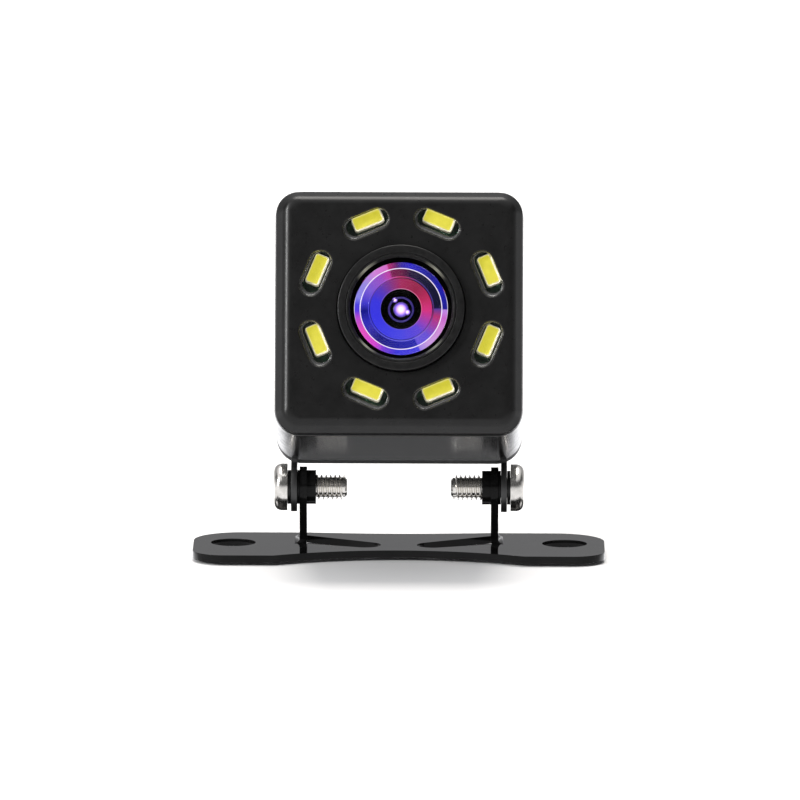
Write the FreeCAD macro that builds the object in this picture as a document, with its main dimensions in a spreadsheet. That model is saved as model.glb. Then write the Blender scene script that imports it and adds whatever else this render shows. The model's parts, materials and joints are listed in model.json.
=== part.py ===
import FreeCAD, Part
import math
import os
import re

import Sketcher

# Backup camera: a square eight-LED camera that tilts on a butterfly bracket of bent sheet steel.
#
# Row frame, in millimetres: the origin is on the face that lies against the vehicle, midway between
# the bracket's arms and straight below the pivot axis. +X runs along the bracket, +Z points away
# from the vehicle and the camera looks along -Y.
#
# Camera frame: the origin is on the lens axis, level with the pivot screws. +X is the row's +X,
# +Z is the camera's own up and -Y is the way it looks. Depths along the lens axis are written as
# distances in front of the pivot, so the front face has a large one and the rear face a negative one.

Vector = FreeCAD.Vector
Rotation = FreeCAD.Rotation
Placement = FreeCAD.Placement

SIDES = {"left": -1, "right": 1}

DRIVING_SIZES = (
    # bracket
    ("sheet", 0.75, "thickness of the bracket's steel sheet"),
    ("bracket_length", 41.2, "bracket from end to end"),
    ("lobe_depth", 14.0, "depth of the bracket's bolt lobes"),
    ("plate_middle", 0.35, "middle of the plate's depth, behind the pivot"),
    ("back_corner", 4.8, "radius of the plate's back corners"),
    ("front_corner", 3.2, "radius of the plate's front corners"),
    ("front_scallop_radius", 25.2, "radius of the hollow in the front edge"),
    ("front_scallop_depth", 3.3, "depth of the hollow in the front edge"),
    ("back_scallop_radius", 66.0, "radius of the hollow in the back edge"),
    ("back_scallop_depth", 0.6, "depth of the hollow in the back edge"),
    ("bolt_line", 1.2, "line of the bolt holes, behind the pivot"),
    ("bolt_spacing", 33.2, "distance between the bolt holes"),
    ("bolt_hole", 4.5, "diameter of a bolt hole"),
    ("cutout_tip", 1.8, "distance from the middle to the tip of an arm's cut-out"),
    ("cutout_tip_radius", 1.6, "radius of the cut-out's tip"),
    ("arm_face", 9.95, "distance from the middle to an arm's outer face"),
    ("arm_base_width", 4.4, "width of an arm at the bend"),
    ("arm_rake", 3.1, "middle of an arm at the bend, behind the pivot"),
    ("bend_relief", 0.3, "width of the relief cut beside each end of a bend"),
    ("arm_tip_radius", 2.05, "radius of an arm's end, about the pivot"),
    ("bend_radius", 0.5, "inner radius of the bend under an arm"),
    ("pivot_height", 6.6, "pivot axis above the mounting face"),
    ("boss_length", 0.9, "length of the tapped collar drawn out of an arm"),
    ("boss_diameter", 3.4, "outer diameter of the tapped collar"),
    # pivot hardware
    ("thread_major", 2.5, "outer diameter of the pivot screw's thread"),
    ("thread_pitch", 0.45, "pitch of the pivot screw's thread"),
    ("thread_depth", 0.26, "depth of the pivot screw's thread"),
    ("thread_clearance", 0.05, "radial play of the screw in the tapped collar"),
    ("screw_tip", 5.2, "distance from the middle to the end of a pivot screw"),
    ("head_diameter", 4.7, "diameter of the pivot screw's pan head"),
    ("head_height", 1.4, "height of the pan head"),
    ("head_rim", 0.55, "height of the pan head's straight rim"),
    ("recess_width", 0.62, "width of the cross recess's slots"),
    ("recess_length", 2.7, "length of the cross recess's slots"),
    ("recess_depth", 0.85, "depth of the cross recess"),
    ("friction_washer", 0.23, "thickness of the washer between arm and lug"),
    ("spring_washer", 0.32, "thickness of the washer under a screw's head"),
    ("washer_diameter", 3.4, "outer diameter of the washers"),
    ("lug_thickness", 0.6, "thickness of a lug"),
    ("lug_radius", 2.45, "radius of a lug's end, about the pivot"),
    ("side_play", 0.02, "play between faces that turn on each other"),
    ("hole_play", 0.1, "radial play of a screw in a plain hole"),
    # case
    ("tilt", 17.5, "angle of the lens axis above the mounting face, in degrees"),
    ("case_x", -0.2, "centre of the case from the lens axis, sideways"),
    ("case_z", -0.2, "centre of the case from the lens axis, upwards"),
    ("case_width", 24.6, "width of the shell"),
    ("case_height", 24.5, "height of the shell"),
    ("case_corner", 2.6, "corner radius of the shell"),
    ("wall", 1.5, "wall of the shell"),
    ("lug_drop", 2.65, "distance from the case's underside to the pivot axis"),
    ("front_face", 19.5, "cover's front face, in front of the pivot"),
    ("cover_back", 17.2, "joint between cover and shell, in front of the pivot"),
    ("shell_back", 0.5, "joint between shell and rear cover, in front of the pivot"),
    ("rear_face", 2.5, "rear cover's outer face, behind the pivot"),
    ("cover_width", 24.5, "width of the front cover"),
    ("cover_height", 24.2, "height of the front cover"),
    ("cover_corner", 2.3, "corner radius of the front cover"),
    ("bevel_side", 1.0, "width of the cover's side bevels"),
    ("bevel_top", 0.85, "width of the cover's top and bottom bevels"),
    ("bevel_depth", 1.4, "depth of the cover's bevels"),
    ("cover_plate", 1.85, "thickness of the front cover's plate"),
    ("post_x", 9.3, "screw posts from the case's centre, sideways"),
    ("post_z", 9.05, "screw posts from the case's centre, upwards"),
    ("post_radius", 1.95, "radius of the shell's screw posts"),
    ("cover_post_radius", 1.45, "radius of the front cover's screw posts"),
    ("post_joint", 14.2, "meeting of the cover's and the shell's posts, in front of the pivot"),
    ("case_thread", 2.0, "diameter of the case screws"),
    ("case_head", 3.5, "head diameter of the case screws"),
    ("case_head_height", 1.2, "head height of the case screws"),
    ("case_screw_length", 16.5, "length of a case screw under its head"),
    ("rear_plate", 1.5, "thickness of the rear cover's plate"),
    ("rear_chamfer", 0.7, "chamfer round the back of the rear cover"),
    ("gasket", 0.7, "width of the gaskets' section"),
    ("gasket_depth", 0.5, "depth of the gaskets' grooves"),
    # light ring
    ("led_count", 8, "number of LEDs"),
    ("ring_radius", 9.2, "radius of the circle on which the LED windows lie"),
    ("window_length", 4.8, "length of an LED window"),
    ("window_width", 2.25, "width of an LED window"),
    ("window_recess", 0.3, "depth of a window below the front face"),
    ("window_thickness", 0.4, "thickness of a window"),
    ("led_length", 3.0, "length of an LED"),
    ("led_width", 1.45, "width of an LED"),
    ("led_height", 0.8, "height of an LED"),
    ("led_shift_x", 0.19, "LED circle from the lens axis, sideways"),
    ("led_shift_z", 0.5, "LED circle from the lens axis, upwards"),
    ("led_groove_inner", 7.5, "inner radius of the groove behind the windows"),
    ("led_groove_outer", 10.75, "outer radius of the groove behind the windows"),
    ("led_groove_depth", 0.85, "depth of the groove behind the windows"),
    ("board", 0.8, "thickness of a circuit board"),
    ("board_width", 20.8, "width of the circuit boards"),
    ("board_height", 20.4, "height of the circuit boards"),
    ("board_notch", 2.25, "radius of the notches that clear the screw posts"),
    # lens and sensor
    ("barrel_head", 6.3, "radius of the lens barrel's head"),
    ("barrel_front", 20.2, "front of the lens barrel, in front of the pivot"),
    ("barrel_shoulder", 17.3, "back of the barrel's head, in front of the pivot"),
    ("barrel_thread", 6.0, "radius of the barrel's threaded part"),
    ("barrel_back", 9.6, "back of the lens barrel, in front of the pivot"),
    ("front_seat", 5.5, "radius of the seat of the front lens and its ring"),
    ("front_lens_back", 18.4, "back of the front lens, in front of the pivot"),
    ("front_lens_edge", 19.4, "edge of the front lens's dome, in front of the pivot"),
    ("front_lens_dome", 0.85, "height of the front lens's dome"),
    ("clear_radius", 4.65, "clear radius of the front lens"),
    ("inner_seat", 4.1, "radius of the barrel's inner bore"),
    ("lens_holder_radius", 7.0, "outer radius of the lens holder's tube"),
    ("lens_holder_front", 14.4, "front of the lens holder, in front of the pivot"),
    ("lens_holder_base", 14.5, "side of the lens holder's square base"),
    ("sensor_board_face", 7.0, "sensor board's front face, in front of the pivot"),
    ("power_board_face", 3.6, "power board's front face, in front of the pivot"),
    # cable entry
    ("gland_bore", 3.5, "diameter of the cable's way through the gland"),
    ("gland_neck", 6.0, "diameter of the gland in the rear cover"),
    ("gland_tip", 5.2, "diameter of the gland's outer end"),
    ("gland_length", 4.0, "length of the gland behind the rear cover"),
    ("gland_lip", 0.8, "thickness of the gland's two lips"),
    ("gland_lip_reach", 0.6, "how far a lip reaches past the neck"),
    ("gland_groove", 0.35, "depth of the groove round the gland's tail"),
    ("gland_play", 0.02, "play between the gland's neck and its hole"),
)

FIRST_ROW = 1
DOCUMENT = FreeCAD.newDocument("backup_camera")
SHEET = DOCUMENT.addObject("Spreadsheet::Sheet", "Sizes")
ALIASES = {alias for alias, _, _ in DRIVING_SIZES}
SUB_PARTS = []


# ---------------------------------------------------------------- the sheet and its expressions


def fill_sheet():
    """Write every driving size into the sheet, one row each."""
    for row, (alias, size, meaning) in enumerate(DRIVING_SIZES, start=FIRST_ROW):
        SHEET.set(f"A{row}", meaning)
        SHEET.set(f"B{row}", str(size))
        SHEET.setAlias(f"B{row}", alias)
    DOCUMENT.recompute()


def value(expression):
    """The number that an expression in the sheet's aliases comes to now."""
    return float(SHEET.evalExpression(str(expression)))


def linked(expression):
    """The same expression as another object has to write it, with its aliases in the sheet."""

    def link(word):
        return f"Sizes.{word.group()}" if word.group() in ALIASES else word.group()

    return re.sub(r"[a-z_]+[a-z_0-9]*", link, str(expression))


def bind(item, name, expression):
    """Tie one property of an object to the sheet."""
    item.setExpression(name, linked(expression))


# ---------------------------------------------------------------- placements


def camera_frame():
    """Where the camera frame lies in the row frame: on the pivot, turned nose up."""
    pivot = Vector(value("case_x"), 0, value("case_z - case_height / 2 - lug_drop"))
    raised = Placement(Vector(0, 0, value("pivot_height")), Rotation(Vector(1, 0, 0), -value("tilt")))
    return raised.multiply(Placement(-pivot, Rotation()))


def at_camera(x=0, ahead=0, z=0, turned=None):
    """A placement in the camera frame; ahead is the distance in front of the pivot."""
    local = Placement(Vector(value(x), -value(ahead), value(z)), turned or Rotation())
    return CAMERA.multiply(local)


def finish(item, label, frame=None):
    """Register an object as a sub-part under its label, carried into a frame."""
    item.Label = label
    if frame is not None:
        item.Placement = frame.multiply(item.Placement)
    SUB_PARTS.append(item)
    return item


# ---------------------------------------------------------------- sketches


def new_body(name):
    """A body for one sub-part, with its origin planes ready to be drawn on."""
    return DOCUMENT.addObject("PartDesign::Body", f"body_{name}")


def origin_feature(body, role):
    """One of the body's own origin planes or axes."""
    return next(item for item in body.Origin.OriginFeatures if item.Role == role)


def new_sketch(body, name, plane, offset="0"):
    """A sketch on one of the body's origin planes, lifted off it by an offset."""
    sketch = body.newObject("Sketcher::SketchObject", name)
    sketch.AttachmentSupport = [(origin_feature(body, plane), "")]
    sketch.MapMode = "FlatFace"
    sketch.AttachmentOffset = Placement(Vector(0, 0, value(offset)), Rotation())
    bind(sketch, "AttachmentOffset.Base.z", offset)
    return sketch


def dimension(sketch, kind, where, expression):
    """Add a dimension whose number comes from the sheet."""
    index = sketch.addConstraint(Sketcher.Constraint(kind, *where, value(expression)))
    sketch.setExpression(f"Constraints[{index}]", linked(expression))


def pin(sketch, geometry, point, x, y):
    """Place one point of a piece of geometry from the sketch's origin."""
    dimension(sketch, "DistanceX", (-1, 1, geometry, point), x)
    dimension(sketch, "DistanceY", (-1, 1, geometry, point), y)


def circle(sketch, x, y, radius):
    """A circle with its centre and radius tied to the sheet."""
    centre = Vector(value(x), value(y), 0)
    index = sketch.addGeometry(Part.Circle(centre, Vector(0, 0, 1), value(radius)))
    pin(sketch, index, 3, x, y)
    dimension(sketch, "Radius", (index,), radius)


def polygon(sketch, corners):
    """A closed outline of straight edges, each corner tied to the sheet."""
    points = [Vector(value(x), value(y), 0) for x, y in corners]
    first = sketch.GeometryCount
    count = len(points)
    for number, start in enumerate(points):
        sketch.addGeometry(Part.LineSegment(start, points[(number + 1) % count]))
    for number, (x, y) in enumerate(corners):
        following = first + (number + 1) % count
        sketch.addConstraint(Sketcher.Constraint("Coincident", first + number, 2, following, 1))
        pin(sketch, first + number, 1, x, y)


def mirrored_corners(quarter):
    """A closed outline, symmetric about both axes, from its corners in the first quadrant."""
    flipped = [(f"-({x})", y) for x, y in reversed(quarter)]
    upper = [*quarter, *flipped]
    return [*upper, *[(x, f"-({y})") for x, y in reversed(upper)]]


def rectangle(sketch, width, height, x="0", y="0"):
    """An upright rectangle about a centre."""
    left, right = f"{x} - ({width}) / 2", f"{x} + ({width}) / 2"
    low, high = f"{y} - ({height}) / 2", f"{y} + ({height}) / 2"
    polygon(sketch, [(left, low), (right, low), (right, high), (left, high)])


def rounded_rectangle(sketch, width, height, radius, x="0", y="0"):
    """An upright rectangle with round corners: four arcs joined by four tangent lines."""
    half_x, half_y, corner = value(width) / 2, value(height) / 2, value(radius)
    centre = Vector(value(x), value(y), 0)
    first = sketch.GeometryCount
    for quarter, (across, up) in enumerate(((1, 1), (-1, 1), (-1, -1), (1, -1))):
        middle = centre + Vector(across * (half_x - corner), up * (half_y - corner), 0)
        start = quarter * math.pi / 2
        round_edge = Part.Circle(middle, Vector(0, 0, 1), corner)
        sketch.addGeometry(Part.ArcOfCircle(round_edge, start, start + math.pi / 2))
    arcs = list(range(first, first + 4))
    for number, arc in enumerate(arcs):
        following = arcs[(number + 1) % 4]
        start = sketch.getPoint(arc, 2)
        end = sketch.getPoint(following, 1)
        line = sketch.addGeometry(Part.LineSegment(start, end))
        sketch.addConstraint(Sketcher.Constraint("Tangent", arc, 2, line, 1))
        sketch.addConstraint(Sketcher.Constraint("Tangent", line, 2, following, 1))
        direction = "Horizontal" if number % 2 == 0 else "Vertical"
        sketch.addConstraint(Sketcher.Constraint(direction, line))
    for arc in arcs[1:]:
        sketch.addConstraint(Sketcher.Constraint("Equal", arcs[0], arc))
    dimension(sketch, "Radius", (arcs[0],), radius)
    pin(sketch, arcs[0], 3, f"{x} + ({width}) / 2 - ({radius})", f"{y} + ({height}) / 2 - ({radius})")
    pin(sketch, arcs[2], 3, f"{x} - ({width}) / 2 + ({radius})", f"{y} - ({height}) / 2 + ({radius})")


def stadium(sketch, length, width, y):
    """A slot with round ends, lying along the sketch's X at a height y."""
    reach, radius = f"({length} - ({width})) / 2", f"({width}) / 2"
    half, height = value(reach), value(y)
    arcs = []
    for side, start in ((1, -math.pi / 2), (-1, math.pi / 2)):
        end = Part.Circle(Vector(side * half, height, 0), Vector(0, 0, 1), value(radius))
        arcs.append(sketch.addGeometry(Part.ArcOfCircle(end, start, start + math.pi)))
    for arc, other in (arcs, reversed(arcs)):
        line = sketch.addGeometry(Part.LineSegment(sketch.getPoint(arc, 2), sketch.getPoint(other, 1)))
        sketch.addConstraint(Sketcher.Constraint("Tangent", arc, 2, line, 1))
        sketch.addConstraint(Sketcher.Constraint("Tangent", line, 2, other, 1))
    dimension(sketch, "Radius", (arcs[0],), radius)
    pin(sketch, arcs[0], 3, reach, y)
    pin(sketch, arcs[1], 3, f"-({reach})", y)


# ---------------------------------------------------------------- features


def feature(body, kind, name, profile, **settings):
    """A sketch-based feature; a setting given as text is tied to the sheet."""
    made = body.newObject(f"PartDesign::{kind}", name)
    made.Profile = profile
    for setting, content in settings.items():
        if isinstance(content, str) and setting != "Type":
            bind(made, setting, content)
        else:
            setattr(made, setting, content)
    return made


def pad(body, name, profile, length, **settings):
    return feature(body, "Pad", name, profile, Length=length, **settings)


def pocket(body, name, profile, length, **settings):
    """A pocket that must take something away."""
    DOCUMENT.recompute()
    before = body.Shape.Volume
    made = feature(body, "Pocket", name, profile, Length=length, **settings)
    DOCUMENT.recompute()
    if body.Shape.Volume >= before:
        raise RuntimeError(f"{name} cut nothing")
    return made


def turned(body, name, profile, axis, kind="Revolution"):
    """A full turn of a profile about one of its sketch's axes."""
    return feature(body, kind, name, profile, ReferenceAxis=(profile, [axis]), Angle="360")


def edges_where(shape, test):
    """The names of the edges whose middle and direction pass a test."""
    names = []
    for number, edge in enumerate(shape.Edges, start=1):
        middle = edge.valueAt((edge.FirstParameter + edge.LastParameter) / 2)
        along = edge.tangentAt((edge.FirstParameter + edge.LastParameter) / 2)
        if test(middle, along):
            names.append(f"Edge{number}")
    return names


def dress(body, kind, name, test, **settings):
    """A fillet or chamfer on the edges of the body's present shape that pass a test."""
    DOCUMENT.recompute()
    base = body.Tip
    made = body.newObject(f"PartDesign::{kind}", name)
    made.Base = (base, edges_where(base.Shape, test))
    for setting, content in settings.items():
        bind(made, setting, content)
    DOCUMENT.recompute()
    return made


def primitive(kind, name, **sizes):
    """A Part primitive with its sizes tied to the sheet."""
    made = DOCUMENT.addObject(f"Part::{kind}", name)
    for size, expression in sizes.items():
        bind(made, size, expression)
    DOCUMENT.recompute()
    return made


def box(name, across, deep, high, x="0", ahead="0", z="0"):
    """A block with its back face at a distance ahead of the pivot, centred across and up."""
    made = primitive("Box", name, Length=across, Width=deep, Height=high)
    low = (f"{x} - ({across}) / 2", f"-({ahead}) - ({deep})", f"{z} - ({high}) / 2")
    made.Placement = Placement(Vector(*[value(part) for part in low]), Rotation())
    return made


def rod(name, radius, deep, x="0", ahead="0", z="0"):
    """A cylinder along the lens axis, from a distance ahead of the pivot forwards."""
    made = primitive("Cylinder", name, Radius=radius, Height=deep)
    foot = Vector(value(x), -value(ahead), value(z))
    made.Placement = Placement(foot, Rotation(Vector(1, 0, 0), 90))
    return made


def cut(name, base, *tools):
    """A base with one or more tools taken away."""
    made = DOCUMENT.addObject("Part::Cut", name)
    made.Base = base
    made.Tool = tools[0] if len(tools) == 1 else join(f"{name}_tools", *tools)
    return made


def join(name, *shapes):
    made = DOCUMENT.addObject("Part::MultiFuse", name)
    made.Shapes = list(shapes)
    return made


def post_corners():
    """The four screw posts: signs across and up, with the centre of each."""
    for across in (-1, 1):
        for up in (-1, 1):
            yield across, up, f"case_x + {across} * post_x", f"case_z + {up} * post_z"


# ---------------------------------------------------------------- bracket


def bracket_plate(body):
    """The plate: rounded lobes with a hollow edge in front and behind, and two bolt holes."""
    outline = new_sketch(body, "bracket_outline", "XY_Plane")
    rectangle(outline, "bracket_length", "lobe_depth", y="plate_middle")
    pad(body, "plate", outline, "sheet")
    half_length, middle_line = value("bracket_length / 2"), value("plate_middle")
    for place, side in (("back", 1), ("front", -1)):
        dress(
            body,
            "Fillet",
            f"{place}_corners",
            lambda middle, along: abs(along.z) > 0.99
            and abs(abs(middle.x) - half_length) < 0.01
            and side * (middle.y - middle_line) > 0,
            Radius=f"{place}_corner",
        )
    scallops = new_sketch(body, "scallops", "XY_Plane")
    for place, side in (("back", "1"), ("front", "-1")):
        radius = f"{place}_scallop_radius"
        reach = f"lobe_depth / 2 - {place}_scallop_depth + {radius}"
        circle(scallops, "0", f"plate_middle + {side} * ({reach})", radius)
    pocket(body, "scallop_pocket", scallops, "sheet", Reversed=True)
    holes = new_sketch(body, "bolt_holes", "XY_Plane")
    for sign in SIDES.values():
        circle(holes, f"{sign} * bolt_spacing / 2", "bolt_line", "bolt_hole / 2")
    pocket(body, "bolt_hole_pocket", holes, "sheet", Reversed=True)


def tapered_tab(sketch, foot, sides, centre, radius, upright):
    """A tab whose flanks run straight, tangent, from its foot to a round end.

    It runs along the sketch's X from a foot to the centre of its round end, or along Y if upright.
    Its foot reaches from one side to the other; its round end lies at zero.
    """

    def point(along, across):
        return Vector(across, along, 0) if upright else Vector(along, across, 0)

    middle = point(value(centre), 0)
    sideways = point(0, 1)

    def touch(corner, outward):
        swing = math.degrees(math.acos(value(radius) / (corner - middle).Length))
        way = (corner - middle).normalize() * value(radius)
        places = [middle + Rotation(Vector(0, 0, 1), turn).multVec(way) for turn in (-swing, swing)]
        return max(places, key=lambda place: outward * place.dot(sideways))

    way = 1 if value(centre) > value(foot) else -1
    crown = point(value(centre) + way * value(radius), 0)
    left_foot, right_foot = (point(value(foot), value(side)) for side in sides)
    left_touch, right_touch = touch(left_foot, -1), touch(right_foot, 1)
    tip = sketch.addGeometry(Part.Arc(left_touch, crown, right_touch))
    left_end = 1 if sketch.getPoint(tip, 1).distanceToPoint(left_touch) < 1e-6 else 2
    left_flank = sketch.addGeometry(Part.LineSegment(left_foot, left_touch))
    right_flank = sketch.addGeometry(Part.LineSegment(right_touch, right_foot))
    base = sketch.addGeometry(Part.LineSegment(right_foot, left_foot))
    sketch.addConstraint(Sketcher.Constraint("Tangent", left_flank, 2, tip, left_end))
    sketch.addConstraint(Sketcher.Constraint("Tangent", right_flank, 1, tip, 3 - left_end))
    sketch.addConstraint(Sketcher.Constraint("Coincident", right_flank, 2, base, 1))
    sketch.addConstraint(Sketcher.Constraint("Coincident", base, 2, left_flank, 1))
    dimension(sketch, "Radius", (tip,), radius)
    places = ((tip, 3, centre, "0"), (base, 2, foot, sides[0]), (base, 1, foot, sides[1]))
    for geometry, end, along, across in places:
        x, y = (across, along) if upright else (along, across)
        pin(sketch, geometry, end, x, y)


def arm_sides(relief="0"):
    """The two ends of an arm's foot, along the depth of the plate."""
    half_width = f"(arm_base_width / 2 + {relief})"
    return f"arm_rake - {half_width}", f"arm_rake + {half_width}"


def quarter_bend(sketch, sign, inner_face, radius, thickness):
    """The section of a bend that turns a flat sheet up into an upright one."""
    x, y = f"{sign} * ({inner_face} + {radius})", f"{thickness} + {radius}"
    centre = Vector(value(x), value(y), 0)
    start, stop = (math.pi, 1.5 * math.pi) if sign > 0 else (1.5 * math.pi, 2 * math.pi)
    arcs = []
    for size in (radius, f"{radius} + {thickness}"):
        whole = Part.Circle(centre, Vector(0, 0, 1), value(size))
        arc = sketch.addGeometry(Part.ArcOfCircle(whole, start, stop))
        dimension(sketch, "Radius", (arc,), size)
        pin(sketch, arc, 3, x, y)
        level, plumb = (1, 2) if sign > 0 else (2, 1)
        sketch.addConstraint(Sketcher.Constraint("Horizontal", arc, level, arc, 3))
        sketch.addConstraint(Sketcher.Constraint("Vertical", arc, plumb, arc, 3))
        arcs.append(arc)
    for end in (1, 2):
        points = [sketch.getPoint(arc, end) for arc in arcs]
        line = sketch.addGeometry(Part.LineSegment(*points))
        for line_end, arc in enumerate(arcs, start=1):
            sketch.addConstraint(Sketcher.Constraint("Coincident", line, line_end, arc, end))


def bracket_cutout(body, side, sign):
    """The opening that an arm leaves in the plate, with a relief beside each end of the bend."""
    opening = new_sketch(body, f"cutout_{side}", "XY_Plane")
    foot = f"{sign} * (arm_face - sheet)"
    tip = f"{sign} * (cutout_tip + cutout_tip_radius)"
    tapered_tab(opening, foot, arm_sides("bend_relief"), tip, "cutout_tip_radius", upright=False)
    pocket(body, f"cutout_pocket_{side}", opening, "sheet", Reversed=True)
    relief = new_sketch(body, f"relief_{side}", "XY_Plane")
    middle = f"{sign} * (arm_face + (bend_radius - sheet) / 2)"
    rectangle(relief, "sheet + bend_radius", "arm_base_width + 2 * bend_relief", middle, "arm_rake")
    pocket(body, f"relief_pocket_{side}", relief, "sheet", Reversed=True)


def bracket_arm(body, side, sign):
    """One arm: the bend out of the plate, the tapering upright and the tapped collar."""
    bend = new_sketch(body, f"bend_{side}", "XZ_Plane", "-arm_rake - arm_base_width / 2")
    quarter_bend(bend, sign, "arm_face", "bend_radius", "sheet")
    pad(body, f"bend_pad_{side}", bend, "arm_base_width")
    inner = "arm_face - sheet"
    upright = new_sketch(body, f"upright_{side}", "YZ_Plane", inner if sign > 0 else "-arm_face")
    foot = "sheet + bend_radius"
    tapered_tab(upright, foot, arm_sides(), "pivot_height", "arm_tip_radius", upright=True)
    pad(body, f"upright_pad_{side}", upright, "sheet")
    collar_start = f"{inner} - boss_length" if sign > 0 else f"-({inner})"
    collar = new_sketch(body, f"collar_{side}", "YZ_Plane", collar_start)
    circle(collar, "0", "pivot_height", "boss_diameter / 2")
    pad(body, f"collar_pad_{side}", collar, "boss_length")


def make_bracket():
    body = new_body("bracket")
    bracket_plate(body)
    for side, sign in SIDES.items():
        bracket_cutout(body, side, sign)
        bracket_arm(body, side, sign)
    bores = new_sketch(body, "collar_bores", "YZ_Plane")
    circle(bores, "0", "pivot_height", "thread_major / 2 + thread_clearance")
    pocket(body, "collar_bore_pocket", bores, "2 * arm_face + 2", Midplane=True)
    return finish(body, "bracket")


# ---------------------------------------------------------------- pivot hardware


def washer(label, side, start, thickness, diameter):
    """A flat washer about the pivot axis, from a distance from the middle outwards."""
    body = new_body(label)
    sign = SIDES[side]
    face = start if sign > 0 else f"-({start} + {thickness})"
    ring = new_sketch(body, f"{label}_ring", "YZ_Plane", face)
    circle(ring, "0", "0", f"{diameter} / 2")
    circle(ring, "0", "0", "thread_major / 2 + hole_play")
    pad(body, f"{label}_pad", ring, thickness)
    return finish(body, label, Placement(Vector(0, 0, value("pivot_height")), Rotation()))


LUG_START = "arm_face + friction_washer + side_play"
SPRING_START = f"{LUG_START} + lug_thickness + side_play"
HEAD_START = f"{SPRING_START} + spring_washer + side_play"


def make_pivot_screw(side):
    """A pan-head screw with a cross recess and a helical thread, drawn along +Z from its tip."""
    label = f"pivot_screw_{side}"
    body = new_body(label)
    length = f"{HEAD_START} - screw_tip"
    root = "thread_major / 2 - thread_depth"
    core = new_sketch(body, f"{label}_profile", "XZ_Plane")
    polygon(
        core,
        [
            ("0", "0"),
            (f"{root} - 0.2", "0"),
            (root, "0.2"),
            (root, length),
            ("head_diameter / 2", length),
            ("head_diameter / 2", f"{length} + head_height"),
            ("0", f"{length} + head_height"),
        ],
    )
    turned(body, f"{label}_core", core, "V_Axis")
    top, rim = value(f"{length} + head_height"), value("head_diameter / 2")
    dress(
        body,
        "Fillet",
        f"{label}_dome",
        lambda middle, along: abs(middle.z - top) < 0.01 and math.hypot(middle.x, middle.y) > rim / 2,
        Radius="head_height - head_rim",
    )
    flank = new_sketch(body, f"{label}_thread_profile", "XZ_Plane")
    foot, crest = "thread_pitch * 0.42", "thread_pitch * 0.1"
    polygon(
        flank,
        [
            (f"{root} - 0.05", f"0.3 - {foot}"),
            ("thread_major / 2", f"0.3 - {crest}"),
            ("thread_major / 2", f"0.3 + {crest}"),
            (f"{root} - 0.05", f"0.3 + {foot}"),
        ],
    )
    thread = body.newObject("PartDesign::AdditiveHelix", f"{label}_thread")
    thread.Profile = flank
    thread.ReferenceAxis = (flank, ["V_Axis"])
    thread.Mode = 0
    bind(thread, "Pitch", "thread_pitch")
    bind(thread, "Height", f"{length} - 0.6 - thread_pitch")
    DOCUMENT.recompute()
    recess = new_sketch(body, f"{label}_recess", "XY_Plane", f"{length} + head_height")
    half, arm = "recess_width / 2", "recess_length / 2"
    polygon(recess, mirrored_corners([(arm, half), (half, half), (half, arm)]))
    pocket(body, f"{label}_recess_pocket", recess, "recess_depth")
    outward = Rotation(Vector(0, 0, 1), Vector(SIDES[side], 0, 0))
    tip = Vector(SIDES[side] * value("screw_tip"), 0, value("pivot_height"))
    return finish(body, label, Placement(tip, outward))


# ---------------------------------------------------------------- case


GASKET_INSETS = ("(wall - gasket) / 2", "(wall + gasket) / 2")


def inset_outline(sketch, inset):
    """The case's rounded outline, drawn in by an inset."""
    width, height = f"case_width - 2 * ({inset})", f"case_height - 2 * ({inset})"
    rounded_rectangle(sketch, width, height, f"case_corner - ({inset})", "case_x", "case_z")


def case_ring(body, name, ahead, depth, inset_outer, inset_inner):
    """A square ring along the case's outline, inset from it, starting ahead of the pivot."""
    ring = new_sketch(body, f"{name}_outline", "XZ_Plane", ahead)
    for inset in (inset_outer, inset_inner):
        inset_outline(ring, inset)
    return pad(body, name, ring, depth)


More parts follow.
